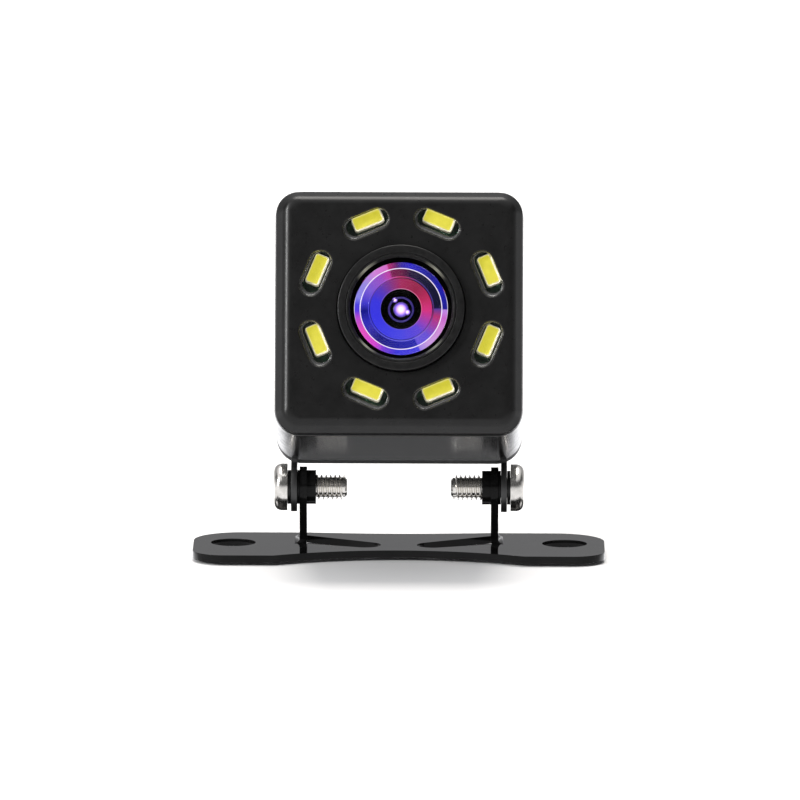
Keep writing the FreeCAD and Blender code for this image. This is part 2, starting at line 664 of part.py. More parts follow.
def make_front_cover():
    """The satin face plate: bevelled edges, lens hole, eight LED windows and four screw posts."""
    body = new_body("front_cover")
    rim = new_sketch(body, "cover_rim", "XZ_Plane", "cover_back")
    rounded_rectangle(rim, "cover_width", "cover_height", "cover_corner", "case_x", "case_z")
    pad(body, "cover_edge", rim, "front_face - bevel_depth - cover_back")
    edge = new_sketch(body, "bevel_foot", "XZ_Plane", "front_face - bevel_depth")
    rounded_rectangle(edge, "cover_width", "cover_height", "cover_corner", "case_x", "case_z")
    face = new_sketch(body, "bevel_top_outline", "XZ_Plane", "front_face")
    rounded_rectangle(
        face,
        "cover_width - 2 * bevel_side",
        "cover_height - 2 * bevel_top",
        "cover_corner - bevel_top",
        "case_x",
        "case_z",
    )
    DOCUMENT.recompute()
    bevel = body.newObject("PartDesign::AdditiveLoft", "bevel")
    bevel.Profile = edge
    bevel.Sections = [face]
    bevel.Ruled = True
    DOCUMENT.recompute()
    hollow = new_sketch(body, "cover_hollow_outline", "XZ_Plane", "cover_back")
    rounded_rectangle(hollow, "board_width + 0.2", "board_height + 0.2", "1", "case_x", "case_z")
    pocket(body, "cover_hollow", hollow, "front_face - cover_plate - cover_back", Reversed=True)
    posts = new_sketch(body, "cover_post_outline", "XZ_Plane", "post_joint")
    for _, _, x, z in post_corners():
        circle(posts, x, z, "cover_post_radius")
    pad(body, "cover_posts", posts, "front_face - cover_plate - post_joint")
    groove = new_sketch(body, "led_groove_outline", "XZ_Plane", "front_face - cover_plate")
    circle(groove, "0", "0", "led_groove_inner")
    circle(groove, "0", "0", "led_groove_outer")
    pocket(body, "led_groove", groove, "led_groove_depth", Reversed=True)
    lens_hole = new_sketch(body, "lens_hole_outline", "XZ_Plane", "cover_back")
    circle(lens_hole, "0", "0", "barrel_head + 0.06")
    pocket(body, "lens_hole", lens_hole, "front_face - cover_back + 1", Reversed=True)
    tapped = new_sketch(body, "cover_tapping", "XZ_Plane", "post_joint")
    for _, _, x, z in post_corners():
        circle(tapped, x, z, "case_thread / 2 + 0.01")
    screw_end = "case_screw_length - rear_face + case_head_height"
    pocket(body, "cover_tapped_holes", tapped, f"{screw_end} - post_joint + 0.4", Reversed=True)
    slot = new_sketch(body, "window_outline", "XZ_Plane", "front_face - cover_plate")
    stadium(slot, "window_length", "window_width", "ring_radius")
    first = pocket(body, "window", slot, "cover_plate + 1", Reversed=True)
    slot.AttachmentOffset = slot.AttachmentOffset.multiply(
        Placement(Vector(), Rotation(Vector(0, 0, 1), 180 / value("led_count")))
    )
    DOCUMENT.recompute()
    ring = body.newObject("PartDesign::PolarPattern", "window_ring")
    ring.Originals = [first]
    ring.Axis = (origin_feature(body, "Y_Axis"), [""])
    ring.Angle = 360
    bind(ring, "Occurrences", "led_count")
    body.Tip = ring
    return finish(body, "front_cover", CAMERA)


def make_body_shell():
    """The square tube between the covers, with a screw post in each inner corner."""
    body = new_body("body_shell")
    length = "cover_back - shell_back"
    case_ring(body, "shell_tube", "shell_back", length, "0", "wall")
    posts = new_sketch(body, "shell_post_outline", "XZ_Plane", "shell_back")
    for _, _, x, z in post_corners():
        circle(posts, x, z, "post_radius")
    pad(body, "shell_posts", posts, "post_joint - shell_back")
    bores = new_sketch(body, "shell_bore_outline", "XZ_Plane", "shell_back")
    for _, _, x, z in post_corners():
        circle(bores, x, z, "case_thread / 2 + hole_play")
    pocket(body, "shell_bores", bores, "post_joint - shell_back", Reversed=True)
    for name, ahead, toward_front in (
        ("front_groove", "cover_back - gasket_depth", True),
        ("rear_groove", "shell_back + gasket_depth", False),
    ):
        groove = new_sketch(body, f"{name}_outline", "XZ_Plane", ahead)
        for inset in GASKET_INSETS:
            inset_outline(groove, inset)
        pocket(body, name, groove, "gasket_depth", Reversed=toward_front)
    return finish(body, "body_shell", CAMERA)


def make_gasket(label, ahead):
    """A square rubber ring that fills a groove in the shell's end."""
    body = new_body(label)
    case_ring(body, f"{label}_ring", ahead, "gasket_depth", *GASKET_INSETS)
    return finish(body, label, CAMERA)


def lug_outline(sketch):
    """A lug seen from the side: a foot on the rear cover and a round end about the pivot."""
    pivot = "case_z - case_height / 2 - lug_drop"
    under = "case_z - case_height / 2 + 0.2"
    polygon(
        sketch,
        [
            ("-shell_back", under),
            ("-shell_back", f"{pivot} + lug_radius - 0.02"),
            ("-lug_radius * 0.3", f"{pivot} + lug_radius * 0.9"),
            ("-lug_radius * 0.3", pivot),
            ("lug_radius", pivot),
            ("rear_face - 0.05", f"{pivot} + lug_drop"),
            ("rear_face - 0.05", under),
        ],
    )


def make_rear_cover():
    """The back of the case: screw counterbores, cable hole and the two lugs of the pivot."""
    body = new_body("rear_cover")
    outline = new_sketch(body, "rear_outline", "XZ_Plane", "-rear_face")
    inset_outline(outline, "0")
    pad(body, "rear_block", outline, "rear_face + shell_back")
    back = value("rear_face")
    dress(
        body,
        "Chamfer",
        "rear_bevel",
        lambda middle, along: abs(middle.y - back) < 0.01,
        Size="rear_chamfer",
    )
    hollow = new_sketch(body, "rear_hollow_outline", "XZ_Plane", "rear_plate - rear_face")
    inset_outline(hollow, "wall")
    pocket(body, "rear_hollow", hollow, "rear_face + shell_back - rear_plate", Reversed=True)
    posts = new_sketch(body, "rear_post_outline", "XZ_Plane", "rear_plate - rear_face")
    for _, _, x, z in post_corners():
        circle(posts, x, z, "post_radius")
    pad(body, "rear_posts", posts, "rear_face + shell_back - rear_plate")
    for side, sign in SIDES.items():
        start = LUG_START if sign > 0 else f"-({LUG_START} + lug_thickness)"
        lug = new_sketch(body, f"lug_{side}", "YZ_Plane", f"case_x + {start}")
        lug_outline(lug)
        pad(body, f"lug_pad_{side}", lug, "lug_thickness")
        eye = new_sketch(body, f"lug_eye_{side}", "YZ_Plane", f"case_x + {start}")
        circle(eye, "0", "case_z - case_height / 2 - lug_drop", "lug_radius")
        pad(body, f"lug_eye_pad_{side}", eye, "lug_thickness")
    holes = new_sketch(body, "pivot_holes", "YZ_Plane", "case_x")
    circle(holes, "0", "case_z - case_height / 2 - lug_drop", "thread_major / 2 + hole_play")
    pocket(body, "pivot_hole_pocket", holes, "2 * (arm_face + 2)", Midplane=True)
    screw_holes = new_sketch(body, "rear_screw_outline", "XZ_Plane", "-rear_face")
    for _, _, x, z in post_corners():
        circle(screw_holes, x, z, "case_thread / 2 + hole_play")
    circle(screw_holes, "0", "0", "gland_neck / 2")
    pocket(body, "rear_through_holes", screw_holes, "rear_face + shell_back", Reversed=True)
    counterbores = new_sketch(body, "counterbore_outline", "XZ_Plane", "-rear_face")
    for _, _, x, z in post_corners():
        circle(counterbores, x, z, "case_head / 2 + hole_play")
    pocket(body, "counterbores", counterbores, "case_head_height + 0.1", Reversed=True)
    return finish(body, "rear_cover", CAMERA)


def make_case_screws():
    """Four pan-head screws that clamp both covers onto the shell, as one group."""
    screws = []
    under_head = "-rear_face + case_head_height + 0.1"
    for number, (_, _, x, z) in enumerate(post_corners(), start=1):
        shank = rod(f"case_shank_{number}", "case_thread / 2", "case_screw_length", x, under_head, z)
        head = rod(f"case_head_{number}", "case_head / 2", "case_head_height", x, "-rear_face + 0.1", z)
        slot = box(f"case_slot_{number}", "case_head * 0.7", "0.5", "0.5", x, "-rear_face", z)
        cross = box(f"case_cross_{number}", "0.5", "0.5", "case_head * 0.7", x, "-rear_face", z)
        solid = join(f"case_screw_solid_{number}", shank, head)
        screws.append(cut(f"case_screw_{number}", solid, slot, cross))
    DOCUMENT.recompute()
    group = DOCUMENT.addObject("Part::Compound", "case_screw_group")
    group.Links = screws
    return finish(group, "case_screws", CAMERA)


def make_cable_gland():
    """The rubber bush in the rear cover through which the cable leaves, with a stepped tail."""
    body = new_body("cable_gland")
    profile = new_sketch(body, "gland_profile", "YZ_Plane")
    inside = "rear_face - rear_plate"
    end = "rear_face + gland_length"
    groove_back = "rear_face + gland_length * 0.7"
    groove_front = "rear_face + gland_length * 0.55"
    neck = "gland_neck / 2 - gland_play"
    lip = "gland_neck / 2 + gland_lip_reach"
    polygon(
        profile,
        [
            (f"{inside} - gland_lip", "gland_bore / 2"),
            (end, "gland_bore / 2"),
            (end, "gland_tip / 2 - gland_groove / 2"),
            (f"{end} - gland_groove / 2", "gland_tip / 2"),
            (groove_back, "gland_tip / 2"),
            (groove_back, "gland_tip / 2 - gland_groove"),
            (groove_front, "gland_tip / 2 - gland_groove"),
            (groove_front, "gland_tip / 2 + gland_groove / 2"),
            ("rear_face + gland_lip", "gland_neck / 2 + gland_groove / 2"),
            ("rear_face + gland_lip", lip),
            ("rear_face", lip),
            ("rear_face", neck),
            (inside, neck),
            (inside, lip),
            (f"{inside} - gland_lip", lip),
        ],
    )
    turned(body, "gland_turn", profile, "H_Axis")
    return finish(body, "cable_gland", CAMERA)


# ---------------------------------------------------------------- light ring


def ring_places():
    """Number and direction of each place on the LED circle, starting beside the top."""
    count = int(value("led_count"))
    for number in range(count):
        yield number + 1, (number + 0.5) * 360 / count


def make_led_window(number, angle):
    """A clear insert that closes one window, drawn at the top of the circle."""
    label = f"led_window_{number}"
    body = new_body(label)
    ahead = "front_face - window_recess - window_thickness"
    outline = new_sketch(body, f"{label}_outline", "XZ_Plane", ahead)
    stadium(outline, "window_length - 0.02", "window_width - 0.02", "ring_radius")
    pad(body, f"{label}_pad", outline, "window_thickness")
    return finish(body, label, at_camera(turned=Rotation(Vector(0, 1, 0), angle)))


def make_led(number, angle):
    """A white SMD LED: a moulded frame with a phosphor well, drawn at the top of the circle."""
    label = f"led_{number}"
    seat = "front_face - cover_plate"
    frame = box(f"{label}_frame", "led_length", "led_height", "led_width", "0", seat, "ring_radius")
    top = f"{seat} + led_height - 0.12"
    well = box(f"{label}_well", "led_length - 0.5", "0.2", "led_width - 0.4", "0", top, "ring_radius")
    body = cut(f"{label}_solid", frame, well)
    place = at_camera("led_shift_x", "0", "led_shift_z", Rotation(Vector(0, 1, 0), angle))
    return finish(body, label, place)


def board(name, ahead, *openings):
    """A circuit board notched round the screw posts, with any openings taken out of it."""
    panel = box(f"{name}_panel", "board_width", "board", "board_height", "case_x", ahead, "case_z")
    tools = list(openings)
    below, through = f"{ahead} - 1", "board + 2"
    for number, (across, up, x, z) in enumerate(post_corners(), start=1):
        tools.append(rod(f"{name}_notch_{number}", "board_notch", through, x, below, z))
        side_x, side_z = f"{x} + {across} * board_notch", f"{z} + {up} * board_notch"
        square = "2 * board_notch"
        tools.append(box(f"{name}_corner_{number}", square, through, square, side_x, below, side_z))
    return cut(f"{name}_solid", panel, *tools)


LED_BOARD = "front_face - cover_plate - board"


def make_led_board():
    """The board behind the face plate that carries the LEDs round the lens."""
    hole = rod("led_board_hole", "barrel_head + 0.7", "board + 2", "0", f"{LED_BOARD} - 1", "0")
    return finish(board("led_board", LED_BOARD, hole), "led_board", CAMERA)


def make_led_resistor(number, side):
    """A chip resistor on the back of the LED board."""
    label = f"led_resistor_{number}"
    z = "case_z + board_height / 2 - 1.6"
    chip = box(f"{label}_chip", "1.6", "0.5", "0.8", f"case_x + {side} * 2.2", f"{LED_BOARD} - 0.5", z)
    return finish(chip, label, CAMERA)


def make_board_spacers():
    """Two turned pillars between the LED board and the sensor board, as one group."""
    gap = f"{LED_BOARD} - sensor_board_face"
    pillars = []
    for side, sign in SIDES.items():
        x = f"case_x + {sign} * 9.1"
        solid = rod(f"spacer_{side}", "0.95", gap, x, "sensor_board_face", "case_z")
        pillars.append(solid)
    group = DOCUMENT.addObject("Part::Compound", "spacer_group")
    group.Links = pillars
    return finish(group, "board_spacers", CAMERA)


# ---------------------------------------------------------------- lens


def turned_part(label, outline):
    """A part turned about the lens axis, from (distance ahead of the pivot, radius) corners."""
    body = new_body(label)
    profile = new_sketch(body, f"{label}_profile", "YZ_Plane")
    polygon(profile, [(f"-({ahead})", radius) for ahead, radius in outline])
    turned(body, f"{label}_turn", profile, "H_Axis")
    return finish(body, label, CAMERA)


def make_lens_barrel():
    """The lens's metal tube: a wide head, a seal groove and the thread that sets the focus."""
    return turned_part(
        "lens_barrel",
        [
            ("barrel_front", "front_seat + 0.02"),
            ("barrel_front", "barrel_head - 0.25"),
            ("barrel_front - 0.25", "barrel_head"),
            ("barrel_shoulder + 1.4", "barrel_head"),
            ("barrel_shoulder + 1.4", "barrel_head - 0.75"),
            ("barrel_shoulder + 0.5", "barrel_head - 0.75"),
            ("barrel_shoulder + 0.5", "barrel_head"),
            ("barrel_shoulder", "barrel_head"),
            ("barrel_shoulder", "barrel_thread"),
            ("barrel_back + 0.3", "barrel_thread"),
            ("barrel_back", "barrel_thread - 0.3"),
            ("barrel_back", "2.6"),
            ("barrel_back + 1", "2.6"),
            ("barrel_back + 1", "inner_seat"),
            ("front_lens_back", "inner_seat"),
            ("front_lens_back", "front_seat + 0.02"),
        ],
    )


def make_lens_seal():
    """The O-ring between the barrel's head and the face plate."""
    ring = primitive("Torus", "lens_seal_ring", Radius1="barrel_head - 0.34", Radius2="0.38")
    place = at_camera("0", "barrel_shoulder + 0.95", "0", Rotation(Vector(1, 0, 0), 90))
    return finish(ring, "lens_seal", place)


def make_retaining_ring():
    """The black ring that holds the front lens, bevelled down to the glass."""
    return turned_part(
        "retaining_ring",
        [
            ("front_lens_edge", "clear_radius"),
            ("front_lens_edge + 0.12", "clear_radius"),
            ("barrel_front - 0.05", "front_seat - 0.1"),
            ("barrel_front - 0.05", "front_seat"),
            ("front_lens_edge", "front_seat"),
        ],
    )


def lens_shape(edge, back, radius, clear, dome, hollow_radius, hollow):
    """A meniscus turned about the lens axis: a flat edge, a domed front and a hollow back."""
    front_ball = (clear**2 + dome**2) / (2 * dome)
    apex = Vector(0, -(edge + dome), 0)
    rim = Vector(0, -edge, clear)
    slope = math.asin(clear / front_ball) / 2
    shoulder = Vector(0, apex.y + front_ball * (1 - math.cos(slope)), front_ball * math.sin(slope))
    edges = [Part.Arc(apex, shoulder, rim).toShape()]
    corners = [rim, Vector(0, -edge, radius), Vector(0, -back, radius), Vector(0, -back, hollow_radius)]
    edges += [Part.makeLine(start, end) for start, end in zip(corners, corners[1:])]
    back_ball = (hollow_radius**2 + hollow**2) / (2 * hollow)
    back_slope = math.asin(hollow_radius / back_ball) / 2
    back_apex = Vector(0, -(back + hollow), 0)
    mid_y = back_apex.y + back_ball * (1 - math.cos(back_slope))
    back_middle = Vector(0, mid_y, back_ball * math.sin(back_slope))
    edges.append(Part.Arc(corners[-1], back_middle, back_apex).toShape())
    edges.append(Part.makeLine(back_apex, apex))
    return Part.Face(Part.Wire(edges)).revolve(Vector(), Vector(0, 1, 0), 360)


def make_lens(label, *sizes):
    """One glass element; its section has arcs, so it is turned from its own outline."""
    glass = DOCUMENT.addObject("Part::Feature", f"{label}_glass")
    shape = lens_shape(*[value(size) for size in sizes])
    glass.Shape = shape if shape.ShapeType == "Solid" else Part.makeSolid(shape.Shells[0])
    return finish(glass, label, CAMERA)


def make_lens_elements():
    make_lens(
        "front_lens",
        "front_lens_edge",
        "front_lens_back",
        "front_seat - 0.02",
        "clear_radius",
        "front_lens_dome",
        "inner_seat - 0.2",
        "1.15",
    )
    make_lens("second_lens", "17.4", "16.4", "inner_seat - 0.01", "3.3", "0.6", "2.6", "0.5")
    make_lens("third_lens", "14.4", "13.4", "inner_seat - 0.01", "2.9", "0.5", "2.4", "0.35")
    make_lens("rear_lens", "12.6", "11.6", "inner_seat - 0.01", "2.9", "0.25", "2.2", "0.3")


def make_lens_spacer(label, ahead, depth, radius):
    """A black ring between two lens elements."""
    tube = rod(f"{label}_outer", "inner_seat - 0.01", depth, "0", ahead, "0")
    hole = rod(f"{label}_hole", radius, f"{depth} + 1", "0", f"{ahead} - 0.5", "0")
    return finish(cut(f"{label}_solid", tube, hole), label, CAMERA)


def make_lens_holder():
    """The threaded socket of the lens, screwed to the sensor board."""
    face = "sensor_board_face"
    tube = rod("holder_tube", "lens_holder_radius", f"lens_holder_front - {face}", "0", face, "0")
    base = box("holder_base", "lens_holder_base", "2", "lens_holder_base", "0", face, "0")
    thread = rod("holder_thread", "barrel_thread + 0.01", "20", "0", f"{face} + 2.2", "0")
    cavity = box("holder_cavity", "7.6", "2.2", "7.6", "0", f"{face} - 0.6", "0")
    window = box("holder_window", "5.2", "1", "5.2", "0", f"{face} + 1.4", "0")
    seat = box("holder_filter_seat", "6.2", "1", "6.2", "0", f"{face} + 1.9", "0")
    solid = cut("holder_solid", join("holder_outer", tube, base), thread, cavity, window, seat)
    bores = []
    for side, sign in SIDES.items():
        bores.append(rod(f"holder_bore_{side}", "0.61", "1.6", f"{sign} * 6", face, f"{sign} * 6"))
    return finish(cut("holder_drilled", solid, *bores), "lens_holder", CAMERA)


def make_holder_screws():
    """Two small screws that hold the lens holder, put in from the back of the board."""
    screws = []
    for side, sign in SIDES.items():
        x, z = f"{sign} * 6", f"{sign} * 6"
        shank = rod(f"holder_shank_{side}", "0.6", "board + 1.4", x, "sensor_board_face - board", z)
        head = rod(f"holder_head_{side}", "1.1", "0.6", x, "sensor_board_face - board - 0.6", z)
        screws.append(join(f"holder_screw_{side}", shank, head))
    group = DOCUMENT.addObject("Part::Compound", "holder_screw_group")
    group.Links = screws
    return finish(group, "holder_screws", CAMERA)


def make_ir_filter():
    """The square infrared filter in the lens holder."""
    glass = box("ir_filter_glass", "6.1", "0.3", "6.1", "0", "sensor_board_face + 1.9", "0")
    return finish(glass, "ir_filter", CAMERA)


# ---------------------------------------------------------------- electronics


def make_sensor_board():
    holes = []
    for side, sign in SIDES.items():
        x, z = f"{sign} * 6", f"{sign} * 6"
        ahead = "sensor_board_face - board - 1"
        holes.append(rod(f"sensor_board_hole_{side}", "0.65", "board + 2", x, ahead, z))
    solid = board("sensor_board", "sensor_board_face - board", *holes)
    return finish(solid, "sensor_board", CAMERA)


def make_power_board():
    return finish(board("power_board", "power_board_face - board"), "power_board", CAMERA)


def make_chip(label, across, deep, high, x, ahead, z):
    """A component with a plain square case."""
    return finish(box(f"{label}_case", across, deep, high, x, ahead, z), label, CAMERA)


def make_electronics():
    """The components, each on the face of its board."""
    behind_sensor = "sensor_board_face - board"
    behind_power = "power_board_face - board"
    make_chip("image_sensor", "6.6", "1.1", "5.8", "0", "sensor_board_face", "0")
    make_chip("signal_processor", "6", "0.9", "6", "-0.5", f"{behind_sensor} - 0.9", "0.5")
    make_chip("clock_crystal", "3.2", "0.7", "2.5", "5.6", f"{behind_sensor} - 0.7", "0.8")
    gap = f"{behind_sensor} - power_board_face"
    make_chip("board_header", "8", gap, "2", "case_x", "power_board_face", "case_z - 8")
    make_chip("voltage_regulator", "3.2", "1.5", "2.6", "-6", f"{behind_power} - 1.5", "2")
    make_chip("power_inductor", "3.6", "2", "3.6", "6.2", f"{behind_power} - 2", "2")
    make_chip("cable_socket", "7.5", "2.6", "3", "case_x", f"{behind_power} - 2.6", "case_z - 6.8")
    can = rod("filter_capacitor_can", "1.9", "2.9", "-5.6", f"{behind_power} - 2.9", "-3.6")
    return finish(can, "filter_capacitor", CAMERA)


# ---------------------------------------------------------------- assembly and export


def make_all():
    make_bracket()
    for side in SIDES:
        washer(f"friction_washer_{side}", side, "arm_face", "friction_washer", "washer_diameter")
        washer(f"spring_washer_{side}", side, SPRING_START, "spring_washer", "washer_diameter")
        make_pivot_screw(side)
    make_front_cover()
    make_body_shell()
    make_rear_cover()
    make_gasket("front_gasket", "cover_back - gasket_depth")
    make_gasket("rear_gasket", "shell_back")
    make_case_screws()
    make_cable_gland()
    for number, angle in ring_places():
        make_led_window(number, angle)
        make_led(number, angle)
    make_led_board()
    make_led_resistor(1, -1)
    make_led_resistor(2, 1)
    make_board_spacers()
    make_lens_barrel()
    make_lens_seal()
    make_retaining_ring()
    make_lens_elements()
    make_lens_spacer("aperture_ring", "14.9", "1.3", "1.6")
    make_lens_spacer("lens_spacer", "12.85", "0.5", "2.95")
    make_lens_holder()
    make_holder_screws()
    make_ir_filter()
    make_sensor_board()
    make_power_board()
    make_electronics()


def check_all():
    """Stop before anything is written if an object failed or a sub-part has no sound shape."""
    for item in DOCUMENT.Objects:
        if {"Invalid", "Error"} & set(item.State):
            raise RuntimeError(f"{item.Name} failed: {item.State}")
    labels = [item.Label for item in SUB_PARTS]
    if len(set(labels)) != len(labels):
        raise RuntimeError("two sub-parts share a label")
    for item in SUB_PARTS:
        if item.Shape.isNull() or not item.Shape.isValid() or not item.Shape.Solids:
            raise RuntimeError(f"{item.Label} has no sound shape")


def export_all():
    os.makedirs("parts", exist_ok=True)
    for item in SUB_PARTS:
        item.Shape.exportStep(f"parts/{item.Label}.step")
        print(f"{item.Label}: {len(item.Shape.Solids)} solid(s), {item.Shape.Volume:.2f} mm3")


fill_sheet()
CAMERA = camera_frame()
make_all()
DOCUMENT.recompute()
check_all()
export_all()
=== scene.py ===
"""A small vehicle camera on a folded bracket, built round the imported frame."""
import json
import math

import bmesh
import bpy
from mathutils import Matrix, Vector


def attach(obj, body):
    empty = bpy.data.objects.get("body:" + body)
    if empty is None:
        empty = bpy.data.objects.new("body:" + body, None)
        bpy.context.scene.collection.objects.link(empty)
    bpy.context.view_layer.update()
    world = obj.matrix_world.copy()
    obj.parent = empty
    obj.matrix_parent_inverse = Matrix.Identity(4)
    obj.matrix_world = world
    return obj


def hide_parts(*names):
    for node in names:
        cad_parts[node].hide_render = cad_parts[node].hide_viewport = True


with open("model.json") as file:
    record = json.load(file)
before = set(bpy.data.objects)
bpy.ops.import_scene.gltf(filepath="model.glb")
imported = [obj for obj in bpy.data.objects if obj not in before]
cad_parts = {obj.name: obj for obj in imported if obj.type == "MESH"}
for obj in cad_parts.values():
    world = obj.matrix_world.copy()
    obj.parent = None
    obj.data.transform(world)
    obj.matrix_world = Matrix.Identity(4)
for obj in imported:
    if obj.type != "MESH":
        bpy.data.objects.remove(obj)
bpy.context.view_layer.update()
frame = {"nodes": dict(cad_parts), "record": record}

# ---------------------------------------------------------------- sizes, in millimetres

MM = 0.001
TILT = math.radians(17.5)  # how far the camera looks up at rest
PIVOT_HEIGHT = 6.6
AXIS_X = 0.2  # sideways place of the lens axis
AXIS_RISE = 15.1  # lens axis above the pivot, square to itself

CASE_X = -0.2  # middle of the case, from the lens axis
CASE_Z = -0.2
FRONT_FACE = 19.5  # in front of the pivot, as every "ahead" below
COVER_BACK = 17.2
COVER_HALF_WIDTH = 12.25
COVER_HALF_HEIGHT = 12.1
COVER_CORNER = 2.3
COVER_INNER_CORNER = 1.35
BEVEL_SIDE = 1.0
BEVEL_TOP = 0.85
BEVEL_DEPTH = 1.4
BEVEL_OUTER_RADIUS = 0.6
BEVEL_INNER_RADIUS = 1.25
COVER_PLATE = 1.85
COVER_WALL = 1.5
EDGE_RADIUS = 0.12  # of the small edges that are only broken

RING_RADIUS = 9.2
WINDOW_COUNT = 8
WINDOW_HALF_LENGTH = 2.4
WINDOW_HALF_WIDTH = 1.125
LED_HALF_LENGTH = 1.56
LED_HALF_WIDTH = 0.725
LED_HEIGHT = 0.8
LED_TOP = 18.45
LED_SHIFT = (0.19, 0.5)
LED_RIM = 0.09

BEZEL_RADIUS = 6.3
BEZEL_BACK = 17.3
BEZEL_FRONT = 20.2
BEZEL_HOLE = 6.36
BARREL_BACK = 9.6
BARREL_THREAD = 6.0
BARREL_BORE = 4.1
SEAT_RADIUS = 5.5  # where the ring that holds the front lens sits in the barrel
SEAT_BOTTOM = 18.4
CLAMP_RADIUS = 5.45
CLAMP_BORE = 4.68
CLAMP_BACK = 18.5
CLAMP_FRONT = 20.17
# between CLAMP_FUNNEL and CLAMP_RIM the ring carries painted glints
CLAMP_FUNNEL = 5.03  # inside this radius the ring is dull black
CLAMP_RIM = 5.31  # outside this radius it is the barrel's black
GLASS_RADIUS = 4.64

TURN_STEPS = 144
SHARP_ANGLE = math.radians(38)

# the same frame as the case: x to the right, y away from the viewer, z up, from the lens axis
IN_CASE = (
    Matrix.Scale(MM, 4)
    @ Matrix.Translation((AXIS_X, 0, PIVOT_HEIGHT))
    @ Matrix.Rotation(-TILT, 4, "X")
    @ Matrix.Translation((0, 0, AXIS_RISE))
)


# ---------------------------------------------------------------- shapes


def rounded(corners, steps=4, closed=False):
    """The points of a polyline whose corners (x, y, radius) are turned into arcs."""
    points = []
    for number, (x, y, radius) in enumerate(corners):
        here = Vector((x, y))
        at_end = not closed and number in (0, len(corners) - 1)
        if radius == 0 or at_end:
            points.append(here)
            continue
        back = (Vector(corners[number - 1][:2]) - here).normalized()
        on = (Vector(corners[(number + 1) % len(corners)][:2]) - here).normalized()
        half = back.angle(on) / 2
        centre = here + (back + on).normalized() * (radius / math.sin(half))
        reach = radius / math.tan(half)
        start = here + back * reach - centre
        end = here + on * reach - centre
        points += [centre + start.slerp(end, k / steps).normalized() * radius for k in range(steps + 1)]
    return points


def frame_outline(half_width, half_height, radius, steps=10):
    """A rounded rectangle round (0, 0), as a loop of (x, z)."""
    corners = [
        (half_width, half_height, radius),
        (half_width, -half_height, radius),
        (-half_width, -half_height, radius),
        (-half_width, half_height, radius),
    ]
    return rounded(corners, steps, closed=True)


def slot_outline(half_length, half_width, steps=12):
    """A slot with round ends along x, as a loop of (x, z)."""
    points = []
    for side in (1, -1):
        for k in range(steps + 1):
            turn = math.pi * (0.5 - k / steps)
            along = half_length - half_width + half_width * math.cos(turn)
            points.append(Vector((side * along, side * half_width * math.sin(turn))))
    return points


def turned_by(points, angle):
    """Points (x, z) turned clockwise as the viewer sees them."""
    c, s = math.cos(angle), math.sin(angle)
    return [Vector((p.x * c + p.y * s, p.y * c - p.x * s)) for p in points]


def moved_by(points, shift):
    return [p + Vector(shift) for p in points]


def at_depth(points, ahead):
    """Points (x, z) put a distance in front of the pivot, in the case's frame."""
    return [Vector((p.x, -ahead, p.y)) for p in points]


def skin(mesh, rings, wrap=False, material=0):
    """Joins neighbouring loops of points with quads, and gives back the rows of vertices."""
    rows = [[mesh.verts.new(point) for point in ring] for ring in rings]
    join_rows(mesh, rows, wrap, material)
    return rows


def join_rows(mesh, rows, wrap=False, material=0):
    """Joins rows of vertices with quads. U goes round the loop and V from row to row."""
    around = mesh.loops.layers.uv.verify()
    pairs = list(zip(rows, rows[1:]))
    if wrap:
        pairs.append((rows[-1], rows[0]))
    for level, (low, high) in enumerate(pairs):
        count = len(low)
        for i in range(count):
            j = (i + 1) % count
            face = mesh.faces.new((low[i], low[j], high[j], high[i]))
            face.material_index = material
            turns = (i / count, (i + 1) / count, (i + 1) / count, i / count)
            levels = (level, level, level + 1, level + 1)
            for loop, u, v in zip(face.loops, turns, levels):
                loop[around].uv = (u, v / len(pairs))


def edges_of(rows):
    """The edges round loops of vertices."""
    found = []
    for row in rows:
        for a, b in zip(row, row[1:] + row[:1]):
            found.append(next(e for e in a.link_edges if e.other_vert(a) is b))
    return found


def fill(mesh, rows, material=0):
    """A flat face inside the first loop and outside the others."""
    made = bmesh.ops.triangle_fill(mesh, use_beauty=True, edges=edges_of(rows))
    for item in made["geom"]:
        if isinstance(item, bmesh.types.BMFace):
            item.material_index = material


def finish_piece(name, mesh, materials, body, sharp=SHARP_ANGLE, weighted=True):
    """An object made from a mesh in the case's frame, shaded smooth between its sharp edges."""
    bmesh.ops.recalc_face_normals(mesh, faces=mesh.faces)
    data = bpy.data.meshes.new(name)
    mesh.transform(IN_CASE)
    mesh.to_mesh(data)
    mesh.free()
    for material in materials:
        data.materials.append(material)
    data.shade_smooth()
    data.set_sharp_from_angle(angle=sharp)
    piece = bpy.data.objects.new(name, data)
    bpy.context.scene.collection.objects.link(piece)
    if weighted:
        weigh_normals(piece)
    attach(piece, body)
    return piece


def weigh_normals(piece):
    """Lets the flat faces set the shading of the narrow ones beside them."""
    normals = piece.modifiers.new("flat_faces_first", "WEIGHTED_NORMAL")
    normals.mode = "FACE_AREA"
    normals.keep_sharp = True


def circle(radius, ahead, steps=TURN_STEPS, x=0.0, z=0.0):
    """A loop round an axis along the lens, clockwise from the top."""
    angles = [2 * math.pi * k / steps for k in range(steps)]
    return [Vector((x + radius * math.sin(a), -ahead, z + radius * math.cos(a))) for a in angles]


def lathe(mesh, profile, wrap=True, material=0):
    """Turns a profile of (radius, ahead) round the lens axis."""
    rings = [circle(radius, ahead) for radius, ahead in profile]
    return skin(mesh, rings, wrap, material)


def close_pole(mesh, row, ahead, material=0):
    """Closes a turned surface with a fan of triangles to a point on the axis."""
    around = mesh.loops.layers.uv.verify()
    pole = mesh.verts.new((0, -ahead, 0))
    for i, vertex in enumerate(row):
        face = mesh.faces.new((vertex, row[(i + 1) % len(row)], pole))
        face.material_index = material
        for loop, u in zip(face.loops, (i, i + 1, i + 0.5)):
            loop[around].uv = (u / len(row), 1 if loop.vert is pole else 0)


